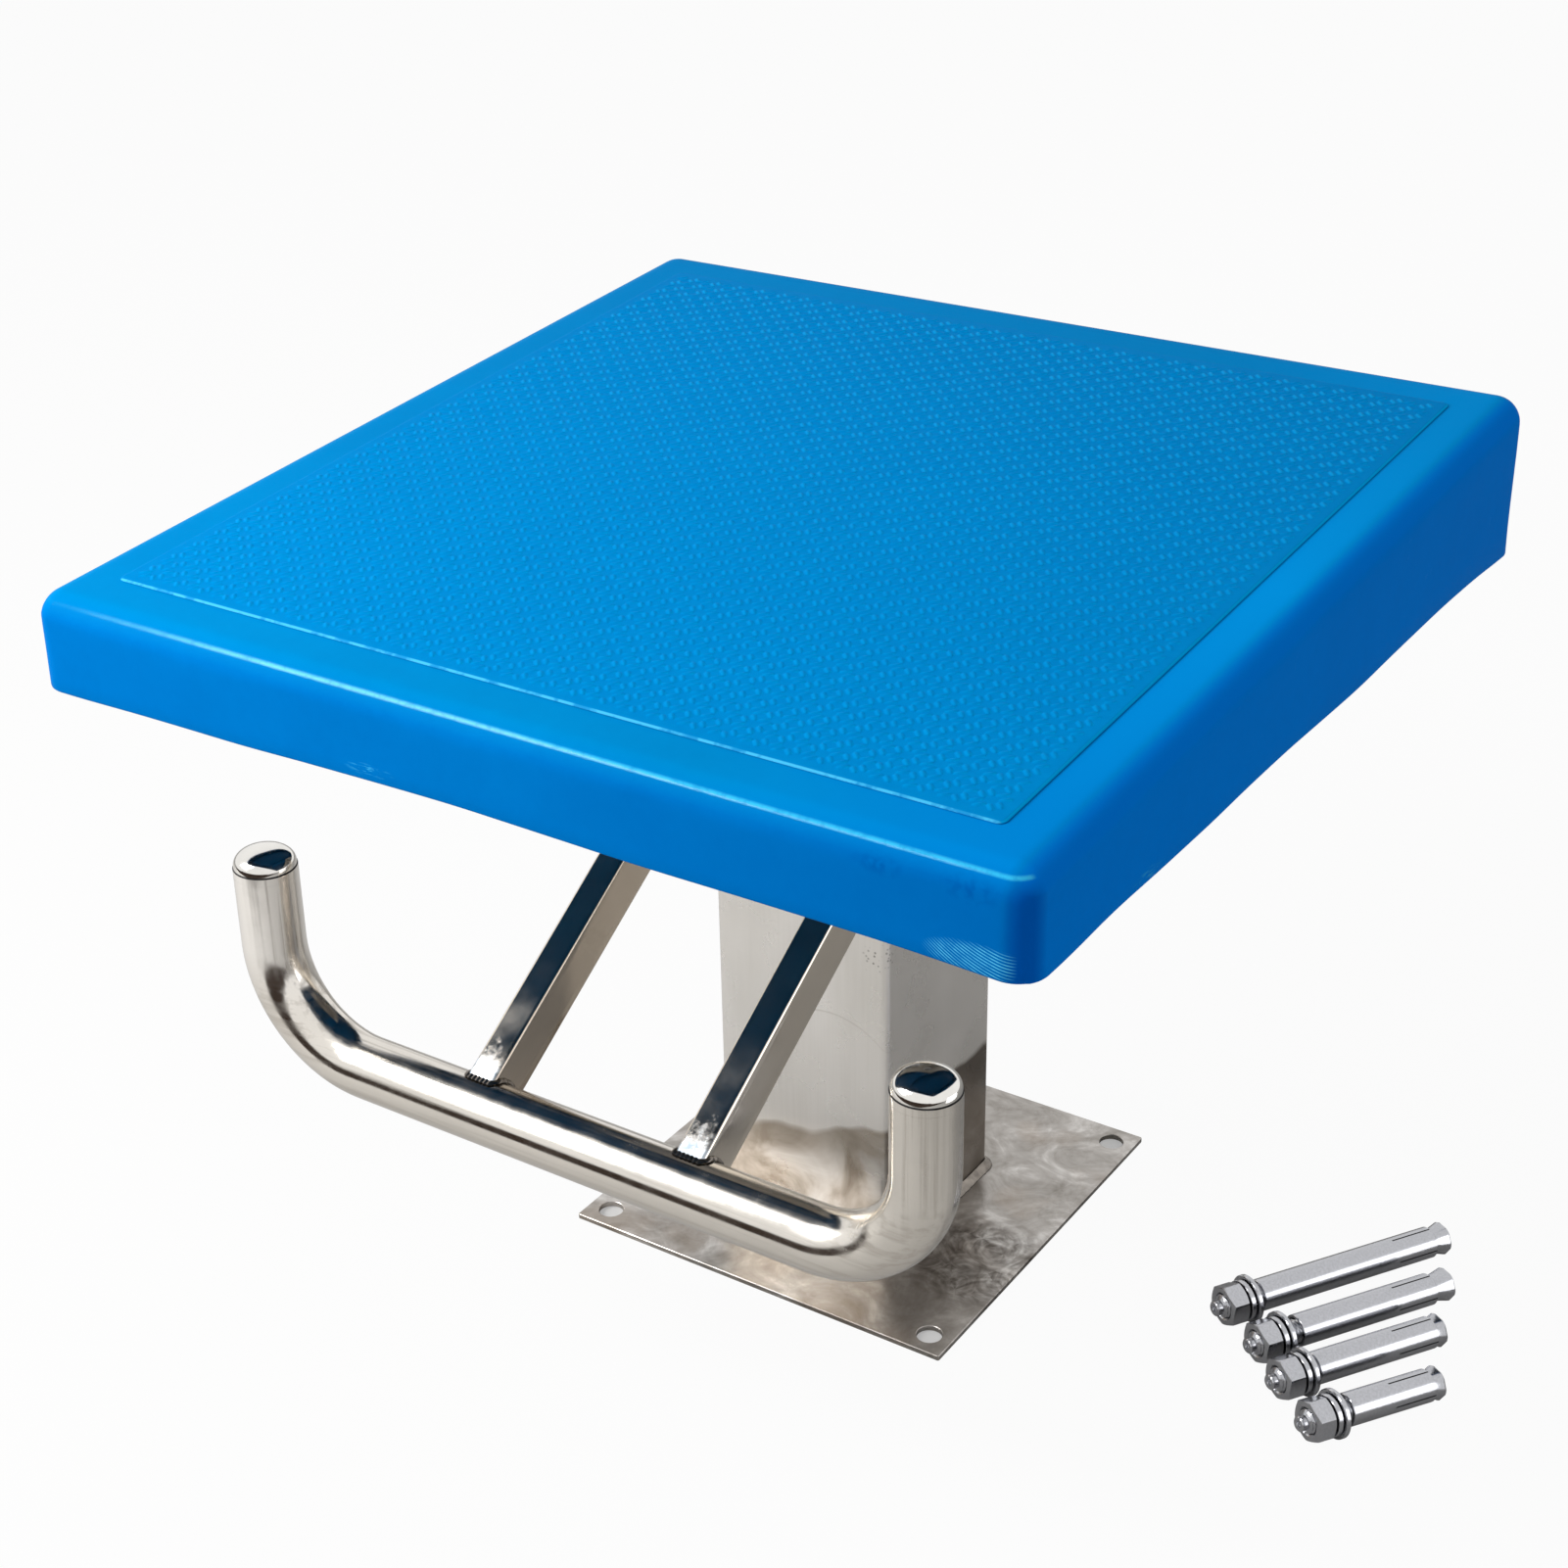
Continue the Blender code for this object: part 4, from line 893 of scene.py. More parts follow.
def plate_with_holes(outline, holes, low, high, edge=EDGE):
    """A flat plate with eased edges. The heights low and high are functions of y."""
    loops = [(outline, 1)]
    for x, y, radius in holes:
        around = circle(radius, 0.0, HOLE_SIDES)
        loops.append(([(x + across, y + along) for across, along, _ in around], -1))
    points, faces, bottoms, tops = [], [], [], []
    for loop, sense in loops:
        flat = [Vector((x, y, 0.0)) for x, y in loop]
        count = len(flat)
        start = len(points)
        inward = []
        for index, point in enumerate(flat):
            before = (point - flat[index - 1]).normalized()
            after = (flat[(index + 1) % count] - point).normalized()
            along = before + after
            inward.append(Vector((-along.y, along.x, 0.0)).normalized() * sense)
        levels = ((edge, low, 0.0), (0.0, low, edge), (0.0, high, -edge), (edge, high, 0.0))
        for inset, height, lift in levels:
            for point, side in zip(flat, inward):
                place = point + side * inset
                points.append((place.x, place.y, height(place.y) + lift))
        faces += ring_faces(start, count, 4)
        bottoms.append(range(start, start + count))
        tops.append(range(start + 3 * count, start + 4 * count))
    for cap in (bottoms, tops):
        order = [index for loop in cap for index in loop]
        polygons = [[Vector((*points[index][:2], 0.0)) for index in loop] for loop in cap]
        faces += [tuple(order[index] for index in triangle) for triangle in tessellate_polygon(polygons)]
    return points, faces


def rounded_profile(inner, outer, low, high, edge=EDGE):
    """A washer's section with eased corners."""
    return [
        (inner, low + edge), (inner + edge, low), (outer - edge, low), (outer, low + edge),
        (outer, high - edge), (outer - edge, high), (inner + edge, high), (inner, high - edge),
    ]


def washer(inner, outer, low, high, edge=EDGE):
    profile = rounded_profile(inner, outer, low, high, edge)
    return loft([circle(radius, z, ROUND_SIDES) for radius, z in profile], closed=True)


def split_ring(inner, outer, bottom, thickness, rise):
    """A spring washer: one turn whose ends stand apart."""
    rings = []
    for step in range(ROUND_SIDES + 1):
        share = step / ROUND_SIDES
        angle = SPRING_OPENING / 2 + (math.tau - SPRING_OPENING) * share
        low = bottom + rise * share
        section = rounded_profile(inner, outer, low, low + thickness, SPRING_EDGE)
        rings.append([polar(radius, angle, z) for radius, z in section])
    return loft(rings)


def hexagon_reach(flats, angle):
    """Distance from a hexagon's middle to its side in a direction."""
    return flats / 2 / math.cos(angle % (2 * HEXAGON_TURN) - HEXAGON_TURN)


def hexagon_rings(flats, low, high):
    """Rings of a hexagon with turned-off corners at both ends."""
    face = flats / 2 * NUT_FACE_SHARE
    crest = flats / 2 / math.cos(HEXAGON_TURN) * NUT_CREST_SHARE
    slope = math.tan(HEXAGON_TURN)
    angles = [math.tau * step / NUT_SIDES for step in range(NUT_SIDES)]
    radii = [min(hexagon_reach(flats, angle), crest) for angle in angles]
    ends = []
    for end, sense in ((low, 1), (high, -1)):
        eased = [end + sense * (radius - face) * slope for radius in radii]
        edge = [polar(*place) for place in zip(radii, angles, eased)]
        ends.append([circle(face, end, NUT_SIDES), edge][::sense])
    return ends[0] + ends[1]


def placed(shape, matrix):
    points, *rest = shape
    return [matrix @ Vector(point) for point in points], *rest


# Deck

RIM_LIP = 0.0016
RIM_SMOOTHING = 0.006
SKIN_WAVE = 0.00009
TOP_INSETS = (0.018, 0.024, 0.030)

# Height of the rim's lower edge in millimetres against its true line, by distance round the deck
RIM_LINE = (
    (0.000, -1.8), (0.026, -1.8), (0.051, -1.0), (0.082, -0.5), (0.126, -0.2), (0.151, 0.8), (0.176, 1.4),
    (0.201, 2.0), (0.238, 2.6), (0.276, 2.0), (0.301, 1.6), (0.330, 1.1), (0.380, 1.4), (0.439, 1.3),
    (0.464, 0.6), (0.500, -0.8), (0.526, -1.2), (0.564, 0.8), (0.601, 0.2), (0.651, 0.2), (0.676, 1.1),
    (0.720, 1.4), (0.764, 0.3), (0.796, -0.3), (0.826, 0.7), (0.851, 1.2), (0.895, 1.9), (0.939, 1.0),
    (0.964, -0.7), (0.988, -1.4), (1.100, 0.6), (1.240, 1.2), (1.380, 0.2), (1.488, -1.2), (1.600, 0.9),
    (1.740, 0.2), (1.860, 1.1), (1.976, -1.8),
)


def perimeter_place(x, y):
    """Distance round the deck from its front left corner, by the nearest side."""
    sides = (
        (y - DECK_FRONT_Y, DECK_WIDTH / 2 + x),
        (DECK_WIDTH / 2 - x, DECK_WIDTH + y - DECK_FRONT_Y),
        (DECK_BACK_Y - y, DECK_WIDTH + DECK_DEPTH + DECK_WIDTH / 2 - x),
        (DECK_WIDTH / 2 + x, 2 * DECK_WIDTH + DECK_DEPTH + DECK_BACK_Y - y),
    )
    return min(sides)[1]


def rim_height(x, y):
    place = perimeter_place(x, y)
    places, offsets = zip(*RIM_LINE)
    window = [place + step * RIM_SMOOTHING for step in (-2, -1, 0, 1, 2)]
    smooth = sum(np.interp(at, places, offsets, period=places[-1]) for at in window) / len(window)
    return DECK_RIM + smooth * MM


def deck_outline(inset):
    radius = max(DECK_CORNER_RADIUS - inset, 0.0002)
    return rounded_rectangle(DECK_WIDTH / 2 - inset, DECK_DEPTH / 2 - inset, radius, DECK_CENTRE_Y, 12, 56)


def deck_waviness(x, y, z):
    """How far the outer face lies inside its true plane, as hand-laid moulding leaves it."""
    place = perimeter_place(x, y)
    wave = math.sin(place * 41.0 + z * 60.0) + 0.6 * math.sin(place * 97.0 - z * 110.0 + 1.3)
    return SKIN_WAVE * (1.6 - wave)


def past_corner(value, size):
    """How far a place lies beyond where the deck's rounded corner starts, towards its side."""
    return max(abs(value) - (size / 2 - DECK_CORNER_RADIUS), 0.0) * math.copysign(1, value)


def make_deck():
    def ring(inset, height):
        return [(x, y, height(x, y)) for x, y in deck_outline(inset)]

    def over_edge(wall, radius, steps):
        made = []
        for step in range(steps + 1):
            angle = math.pi / 2 * step / steps
            inset = wall + radius * (1 - math.cos(angle))
            drop = wall + radius * (1 - math.sin(angle))
            made.append(ring(inset, lambda x, y, drop=drop: deck_top(y) - drop))
        return made

    rings = over_edge(DECK_WALL, DECK_INNER_RADIUS, 6)[::-1]
    rings.append(ring(DECK_WALL, lambda x, y: rim_height(x, y) + RIM_LIP))
    for step in range(1, 9):
        angle = math.pi * step / 8
        across = DECK_WALL / 2 * (1 + math.cos(angle))
        rings.append(ring(across, lambda x, y, a=angle: rim_height(x, y) + RIM_LIP * (1 - math.sin(a))))
    rim_row = len(rings) - 5
    wavy_from = len(rings)
    for share in (0.2, 0.4, 0.6, 0.8):
        def height(x, y, share=share):
            low = rim_height(x, y) + RIM_LIP
            return low + (deck_top(y) - DECK_EDGE_RADIUS - low) * share
        rings.append(ring(0.0, height))
    rings += over_edge(0.0, DECK_EDGE_RADIUS, 12)
    rings += [ring(inset, lambda x, y: deck_top(y)) for inset in TOP_INSETS]
    for row in rings[wavy_from:wavy_from + 6]:
        for index, (x, y, z) in enumerate(row):
            depth = deck_waviness(x, y, z)
            past = (past_corner(x, DECK_WIDTH), past_corner(y - DECK_CENTRE_Y, DECK_DEPTH))
            corner = Vector(past).normalized()
            row[index] = (x - corner.x * depth, y - corner.y * depth, z)
    points, faces = loft(rings)
    inside = rim_row * len(rings[0])
    cap = len(points) - len(rings[0])
    slots = [1 if min(face) < inside and max(face) < cap else 0 for face in faces]
    add_piece("deck_shell", (points, faces, slots), ("gelcoat", "laminate"), 40.0)


def make_tread():
    rings = []
    for inset, rise in PANEL_EDGE:
        half_x, half_y = PANEL_WIDTH / 2 - inset, PANEL_DEPTH / 2 - inset
        outline = rounded_rectangle(half_x, half_y, PANEL_CORNER_RADIUS - inset, PANEL_CENTRE_Y, 6, 40)
        rings.append([(x, y, deck_top(y) + GAP + rise) for x, y in outline])
    points, faces = loft(rings)
    slots = [0] * len(faces)
    columns = int((PANEL_WIDTH - PANEL_PLAIN_BORDER) / WEAVE_CELL_X)
    rows = int((PANEL_DEPTH - PANEL_PLAIN_BORDER) / WEAVE_CELL_Y)
    shoulder = WEAVE_SHOULDER
    corners = ((-1, 0), (-shoulder, -1), (shoulder, -1), (1, 0), (shoulder, 1), (-shoulder, 1))
    base = [(u * WEAVE_HALF_LENGTH, v * WEAVE_HALF_WIDTH) for u, v in corners]
    for column in range(columns):
        for row in range(rows):
            centre_x = (column - (columns - 1) / 2) * WEAVE_CELL_X
            centre_y = PANEL_CENTRE_Y + (row - (rows - 1) / 2) * WEAVE_CELL_Y
            sense = -1 if (column + row) % 2 else 1
            along_x, along_y, _ = polar(1.0, sense * math.pi / 4)
            for side in (-1, 1):
                wear = RANDOM.uniform(*WEAVE_WEAR)
                middle_x = centre_x - along_y * side * WEAVE_SPREAD
                middle_y = centre_y + along_x * side * WEAVE_SPREAD
                bar = []
                for share, rise in ((1.0, -WEAVE_SINK), (WEAVE_TOP_SHARE, WEAVE_RISE * wear)):
                    length_share = 1.0 - (1.0 - share) * WEAVE_END_SLOPE
                    ring = []
                    for u, v in base:
                        x = middle_x + along_x * u * length_share - along_y * v * share
                        y = middle_y + along_y * u * length_share + along_x * v * share
                        ring.append((x, y, deck_top(y) + GAP + PANEL_FIELD + rise))
                    bar.append(ring)
                bar_points, bar_faces = loft(bar, start=len(points))
                points += bar_points
                faces += bar_faces
                # Bars of one direction take the look with painted light
                slots += [1 if sense < 0 else 0] * len(bar_faces)
    add_piece("tread_panel", (points, faces, slots), ("tread", "painted_lit_tread"), 70.0)


# Post, plates and their beads

POST_SAG = 0.00035
RIPPLE_PITCH = 0.0022
BEAD_FULLNESS = 0.75


def post_outline(offset, steps, side_steps):
    half_x, half_y = POST_WIDTH / 2 + offset, POST_DEPTH / 2 + offset
    return rounded_rectangle(half_x, half_y, POST_FOLD_RADIUS + offset, POST_CENTRE_Y, steps, side_steps)


def sunk(place, size, depth, across):
    """A place on one of two opposite faces, moved inwards by the depth that its face has there."""
    return place - math.copysign(depth * max(across, 0.0), place) if abs(place) > size * 0.45 else place


def make_post():
    levels = np.linspace(POST_BOTTOM, POST_TOP, 25)
    rings = []
    for offset, heights in ((0.0, levels), (-POST_SHEET, levels[::-1])):
        for z in heights:
            sag = POST_SAG * math.sin(math.pi * (z - POST_BOTTOM) / (POST_TOP - POST_BOTTOM))
            depth = sag * (1.0 + 0.4 * math.sin(z * 47.0))
            ring = []
            for x, y in post_outline(offset, 8, 12):
                out = y - POST_CENTRE_Y
                moved_x = sunk(x, POST_WIDTH, depth, math.cos(math.pi * out / POST_DEPTH))
                moved_y = POST_CENTRE_Y + sunk(out, POST_DEPTH, depth, math.cos(math.pi * x / POST_WIDTH))
                ring.append((moved_x, moved_y, z))
            rings.append(ring)
    add_piece("post", loft(rings, closed=True), ("post",))


def make_base_plate():
    half = PLATE_WIDTH / 2
    inset = half - PLATE_HOLE_INSET
    holes = [(x, y, PLATE_HOLE / 2) for x in (-inset, inset) for y in (-inset, inset)]
    outline = rectangle_between(half, -half, half, PLATE_CORNER_RADIUS)
    shape = plate_with_holes(outline, holes, lambda y: 0.0, lambda y: PLATE_THICKNESS)
    add_piece("base_plate", shape, ("plate",))


def ripple_bead(path, seed, closed=False):
    """A fillet bead along a path of (place, outwards, upwards), with the ripples of a hand-made weld."""
    wobble = np.random.default_rng(seed).uniform(0, math.tau, 4)
    rings = []
    travelled = 0.0
    before = path[0][0]
    for place, outwards, upwards in path:
        travelled += (place - before).length
        before = place
        wave = 0.5 + 0.5 * math.cos(math.tau * travelled / RIPPLE_PITCH)
        slow = 0.5 * math.sin(travelled * 95.0 + wobble[0]) + 0.5 * math.sin(travelled * 233.0 + wobble[1])
        size = BEAD * (0.90 + 0.05 * slow + 0.05 * wave)
        ring = [place]
        for step in range(7):
            angle = math.pi / 2 * step / 6
            full = BEAD_FULLNESS + (1 - BEAD_FULLNESS) * (1 - math.sin(2 * angle)) + 0.05 * wave
            out, up, _ = polar(size * min(full, 1.0), angle)
            ring.append(place + outwards * out + upwards * up)
        rings.append(ring)
    return loft(rings, closed)


def make_base_weld():
    outline = post_outline(GAP, 10, 60)
    path = []
    for index, (x, y) in enumerate(outline):
        path.append((Vector((x, y, POST_BOTTOM)), outward(outline, index).to_3d(), UP))
    add_weld("base_weld", ripple_bead(path, 3, True))


def straight_bead(start, end, outwards, upwards, seed):
    steps = max(8, int((end - start).length / BEAD_SPACING))
    path = [(start.lerp(end, step / steps), outwards, upwards) for step in range(steps + 1)]
    return ripple_bead(path, seed)


def make_head_welds():
    half = POST_WIDTH / 2 - POST_FOLD_RADIUS
    for end, face, sense in (("front", POST_FRONT_Y, -1), ("back", POST_FRONT_Y + POST_DEPTH, 1)):
        left, right = (Vector((x, face + sense * GAP, POST_TOP)) for x in (-half, half))
        add_weld(f"head_weld_{end}", straight_bead(left, right, Vector((0.0, sense, 0.0)), -UP, 5 + sense))


def bolt_places():
    rows = (HEAD_FRONT_Y + BOLT_INSET, HEAD_BACK_Y - BOLT_INSET)
    places = [(side * RAIL_X, y) for side in (-1, 1) for y in rows]
    return [(x, y, number) for number, (x, y) in enumerate(places, 1)]


def make_head_plate():
    holes = [(x, y, BOLT_HOLE / 2) for x, y, _ in bolt_places()]
    outline = rectangle_between(HEAD_HALF_WIDTH, HEAD_FRONT_Y, HEAD_BACK_Y)
    shape = plate_with_holes(outline, holes, lambda y: HEAD_BOTTOM, lambda y: HEAD_TOP, SHEET_EDGE)
    add_piece("head_plate", shape, ("dull",))


# Hand bar, caps and struts

def make_hand_bar():
    bend_x = BAR_UPRIGHT_X - BAR_BEND_RADIUS
    bend_z = BAR_HEIGHT + BAR_BEND_RADIUS
    left = [(-BAR_UPRIGHT_X, z, -1.0, 0.0) for z in np.linspace(BAR_TUBE_TOP, bend_z, 10)[:-1]]
    for step in range(25):
        across, up, _ = polar(1.0, math.pi / 2 * step / 24)
        left.append((-bend_x - BAR_BEND_RADIUS * across, bend_z - BAR_BEND_RADIUS * up, -across, -up))
    middle = [(x, BAR_HEIGHT, 0.0, -1.0) for x in np.linspace(-bend_x, bend_x, 40)[1:-1]]
    right = [(-x, z, -out_x, out_z) for x, z, out_x, out_z in reversed(left)]
    stations = left + middle + right

    def ring(station, radius):
        x, z, out_x, out_z = station
        around = circle(radius, 0.0, ROUND_SIDES)
        return [(x + out_x * out, BAR_Y + across, z + out_z * out) for out, across, _ in around]

    outer = [ring(station, BAR_RADIUS) for station in stations]
    inner = [ring(station, BAR_RADIUS - BAR_WALL) for station in reversed(stations)]
    add_piece("hand_bar", loft(outer + inner, closed=True), ("bar",))


def make_end_caps():
    spigot = BAR_RADIUS - BAR_WALL - GAP
    dome_bottom = CAP_SEAM + CAP_SEAM_WIDTH
    profile = [
        (spigot - CAP_SPIGOT_EDGE, -CAP_SPIGOT), (spigot, CAP_SPIGOT_EDGE - CAP_SPIGOT), (spigot, CAP_START),
        (BAR_RADIUS, CAP_START), (BAR_RADIUS, CAP_SEAM - CAP_SEAM_FALL),
        (BAR_RADIUS - CAP_SEAM_DEPTH, CAP_SEAM), (CAP_DOME_RADIUS, dome_bottom),
    ]
    # The cap's seam rows take painted shade
    seam_rows = (4, 5)
    steps = 24
    for step in range(1, steps):
        out, up, _ = polar(1.0, math.pi / 2 * step / steps)
        radius = CAP_DOME_RADIUS * out ** (2 / CAP_FULLNESS)
        profile.append((radius, dome_bottom + CAP_DOME * up ** (2 / CAP_FULLNESS)))
    profile.append((CAP_TIP_RADIUS, dome_bottom + CAP_DOME))
    slots = []
    for row in range(len(profile) - 1):
        look = 1 if row in seam_rows else (2 if row > seam_rows[-1] else 0)
        slots += [look] * ROUND_SIDES
    slots += [0, 2]
    cap = (*loft([circle(radius, z, ROUND_SIDES) for radius, z in profile]), slots)
    for end, side in SIDES:
        shape = placed(cap, Matrix.Translation((side * BAR_UPRIGHT_X, BAR_Y, BAR_TUBE_TOP)))
        add_piece(f"end_cap_{end}", shape, ("bar", "seam", "cap"))


def strut_point(along, across, above):
    y = BAR_Y + along * math.cos(STRUT_ANGLE) - above * math.sin(STRUT_ANGLE)
    z = BAR_HEIGHT + along * math.sin(STRUT_ANGLE) + above * math.cos(STRUT_ANGLE)
    return Vector((across, y, z))


def cope_length(above, clearance=GAP):
    """Where a line along the strut meets the hand bar's surface."""
    return math.sqrt((BAR_RADIUS + clearance) ** 2 - above ** 2)


def level_length(above):
    """Where a line along the strut meets the level cut under the head plate."""
    return (POST_TOP - BAR_HEIGHT - above * math.cos(STRUT_ANGLE)) / math.sin(STRUT_ANGLE)


def make_struts():
    half_x, half_y = STRUT_WIDTH / 2, STRUT_HEIGHT / 2
    outer = rounded_rectangle(half_x, half_y, STRUT_CORNER_RADIUS, 0.0, 6, 6)
    inner = rounded_rectangle(half_x - STRUT_WALL, half_y - STRUT_WALL, STRUT_BORE_RADIUS, 0.0, 6, 6)
    for end, side in SIDES:
        rings = []
        for outline, shares in ((outer, (0.0, 0.01, 0.5, 0.99, 1.0)), (inner, (1.0, 0.5, 0.0))):
            for share in shares:
                ring = []
                for across, above in outline:
                    low, high = cope_length(above), level_length(above)
                    ring.append(strut_point(low + (high - low) * share, side * STRUT_X + across, above))
                rings.append(ring)
        add_piece(f"strut_{end}", loft(rings, closed=True), ("strut",))


def make_bar_welds():
    """A small rippled bead round each strut's end, on the hand bar."""
    half_x, half_y = STRUT_WIDTH / 2 + GAP, STRUT_HEIGHT / 2 - BAR_BEAD_INSET
    outline = rounded_rectangle(half_x, half_y, BAR_BEAD_RADIUS, 0.0, 6, 40)
    for end, side in SIDES:
        rings = []
        for index, (across, above) in enumerate(outline):
            out = outward(outline, index)
            wave = 0.5 + 0.5 * math.cos(math.tau * index / 7)
            leg = BAR_BEAD * (0.82 + 0.18 * wave)
            ring = []
            for reach, lift in ((0.0, 0.0), (1.0, 0.0), (0.9, 0.45), (0.5, 0.85), (0.0, 1.0)):
                a = across + out.x * leg * reach
                b = max(min(above + out.y * leg * reach, BAR_BEAD_LIMIT), -BAR_BEAD_LIMIT)
                ring.append(strut_point(cope_length(b, 2 * GAP) + leg * lift, side * STRUT_X + a, b))
            rings.append(ring)
        add_weld(f"bar_weld_{end}", loft(rings, closed=True))


def make_strut_welds():
    start = (POST_FRONT_Y - BAR_Y) / math.cos(STRUT_ANGLE)
    length = (POST_DEPTH - 4 * BEAD) / math.cos(STRUT_ANGLE)
    under = -STRUT_HEIGHT / 2 - GAP
    down = (strut_point(0.0, 0.0, -1.0) - strut_point(0.0, 0.0, 0.0)).normalized()
    for end, side in SIDES:
        x = side * (POST_WIDTH / 2 + GAP)
        low, high = (strut_point(along, x, under) for along in (start, start + length))
        add_weld(f"strut_weld_{end}", straight_bead(low, high, Vector((side, 0.0, 0.0)), down, 9 + side))


# Board, rails and deck bolts

def make_board_and_rails():
    inset = DECK_WALL + DECK_INNER_RADIUS + BOARD_EDGE_CLEARANCE
    outline = rectangle_between(DECK_WIDTH / 2 - inset, DECK_FRONT_Y + inset, DECK_BACK_Y - inset)
    holes = [(x, y, INSERT_RADIUS + GAP) for x, y, _ in bolt_places()]
    shape = plate_with_holes(outline, holes, board_bottom, board_top, SHEET_EDGE)
    add_piece("core_board", shape, ("plywood",))
    for end, side in SIDES:
        rail = rectangle_between(RAIL_WIDTH / 2, RAIL_FRONT_Y, RAIL_BACK_Y, RAIL_CORNER_RADIUS)
        outline = [(x + side * RAIL_X, y) for x, y in rail]
        holes = [(x, y, BOLT_HOLE / 2) for x, y, _ in bolt_places() if x * side > 0]
        low, high = (lambda y: HEAD_TOP + GAP), (lambda y: board_bottom(y) - GAP)
        shape = plate_with_holes(outline, holes, low, high, RAIL_EDGE)
        add_piece(f"rail_{end}", shape, ("timber",))


def make_deck_bolts():
    washer_top = HEAD_BOTTOM - GAP
    washer_bottom = washer_top - BOLT_WASHER_THICKNESS
    spring_bottom = washer_bottom - GAP - BOLT_WASHER_THICKNESS - BOLT_SPRING_RISE
    head_top = spring_bottom - GAP
    radius = BOLT_DIAMETER / 2
    bore = radius + GAP
    for x, y, number in bolt_places():
        insert_bottom = board_bottom(y) + INSERT_SINK
        insert_top = insert_bottom + INSERT_HEIGHT
        rings = hexagon_rings(BOLT_HEAD_FLATS, head_top - BOLT_HEAD_HEIGHT, head_top)
        for narrowing, z in ((0.0, head_top), (0.0, insert_top - BOLT_TIP), (BOLT_TIP, insert_top)):
            rings.append(circle(radius - narrowing, z, NUT_SIDES))
        spring = split_ring(bore, BOLT_SPRING_RADIUS, spring_bottom, BOLT_WASHER_THICKNESS, BOLT_SPRING_RISE)
        for name, shape in (
            (f"deck_bolt_{number}", loft(rings)),
            (f"deck_bolt_{number}_flat_washer", washer(bore, BOLT_WASHER_RADIUS, washer_bottom, washer_top)),
            (f"deck_bolt_{number}_spring_washer", spring),
            (f"insert_nut_{number}", washer(bore, INSERT_RADIUS, insert_bottom, insert_top, INSERT_EDGE)),
        ):
            add_piece(name, placed(shape, Matrix.Translation((x, y, 0.0))), ("zinc",))


# Expansion anchors, made along local +Z from the thread's tip

STUD_SIDES = 36
STUB_PROFILE = (
    (0.0012, 0.0012), (0.0016, 0.0001), (0.0019, 0.0), (STUB_RADIUS - 0.0005, 0.0), (STUB_RADIUS, 0.0005),
    (STUB_RADIUS - 0.0002, 0.0016), (STUB_RADIUS, 0.0026), (STUB_RADIUS, STUB_LENGTH),
)
SLIT_COUNT = 4
SLEEVE_STEPS = 14


def turned_to(place, first, second, third):
    """The matrix that lays local axes along the given directions at a place."""
    return Matrix.Translation(place) @ Matrix((first, second, third)).transposed().to_4x4()


def anchor_matrix(number):
    """From local axes to the ground, from the joint that turns the anchor's nut."""
    joint = next(entry for entry in frame["joints"] if entry["name"] == f"anchor_{number}_nut_turn")
    forward = Vector(joint["axis"]).normalized()
    side = forward.cross(-UP).normalized()
    return turned_to(joint["pos_m"], side.cross(forward), side, forward)


def threaded_stud(length, cone_length, thread_end):
    rings = [circle(radius, z, STUD_SIDES) for radius, z in STUB_PROFILE]
    angles = [math.tau * index / STUD_SIDES for index in range(STUD_SIDES)]
    step = THREAD_PITCH / THREAD_ROWS_A_TURN
    for row in range(1, int((thread_end - STUB_LENGTH) / step) + 1):
        z = STUB_LENGTH + row * step
        fade = min(1.0, max(0.0, (thread_end - z) / (2 * THREAD_PITCH)))
        limit = STUB_RADIUS + (z - STUB_LENGTH) * 1.6
        ring = []
        for index, angle in enumerate(angles):
            phase = (z / THREAD_PITCH - index / STUD_SIDES) % 1.0
            flank = min(1.0, max(0.0, abs(2 * phase - 1) * 1.25 - 0.125))
            ring.append(polar(min(STUD_RADIUS - THREAD_DEPTH * flank * fade, limit), angle, z))
        rings.append(ring)
    hidden_row = len(rings) - 1
    rings.append(circle(STUD_RADIUS, length - cone_length, STUD_SIDES))
    for z, radius, flats in (
        (length - CONE_LIP, CONE_RADIUS, CONE_FLATS),
        (length - 0.0003, CONE_RADIUS - 0.0003, CONE_FLATS - 0.0005),
        (length, CONE_RADIUS - 0.001, CONE_FLATS - 0.002),
    ):
        reach = [min(radius, hexagon_reach(flats, angle + HEXAGON_TURN)) for angle in angles]
        rings.append([polar(out, angle, z) for out, angle in zip(reach, angles)])
    points, faces = loft(rings)
    # The stud's row inside the sleeve takes painted shade
    slots = [1 if index // STUD_SIDES == hidden_row else 0 for index in range(len(faces))]
    return points, faces, slots


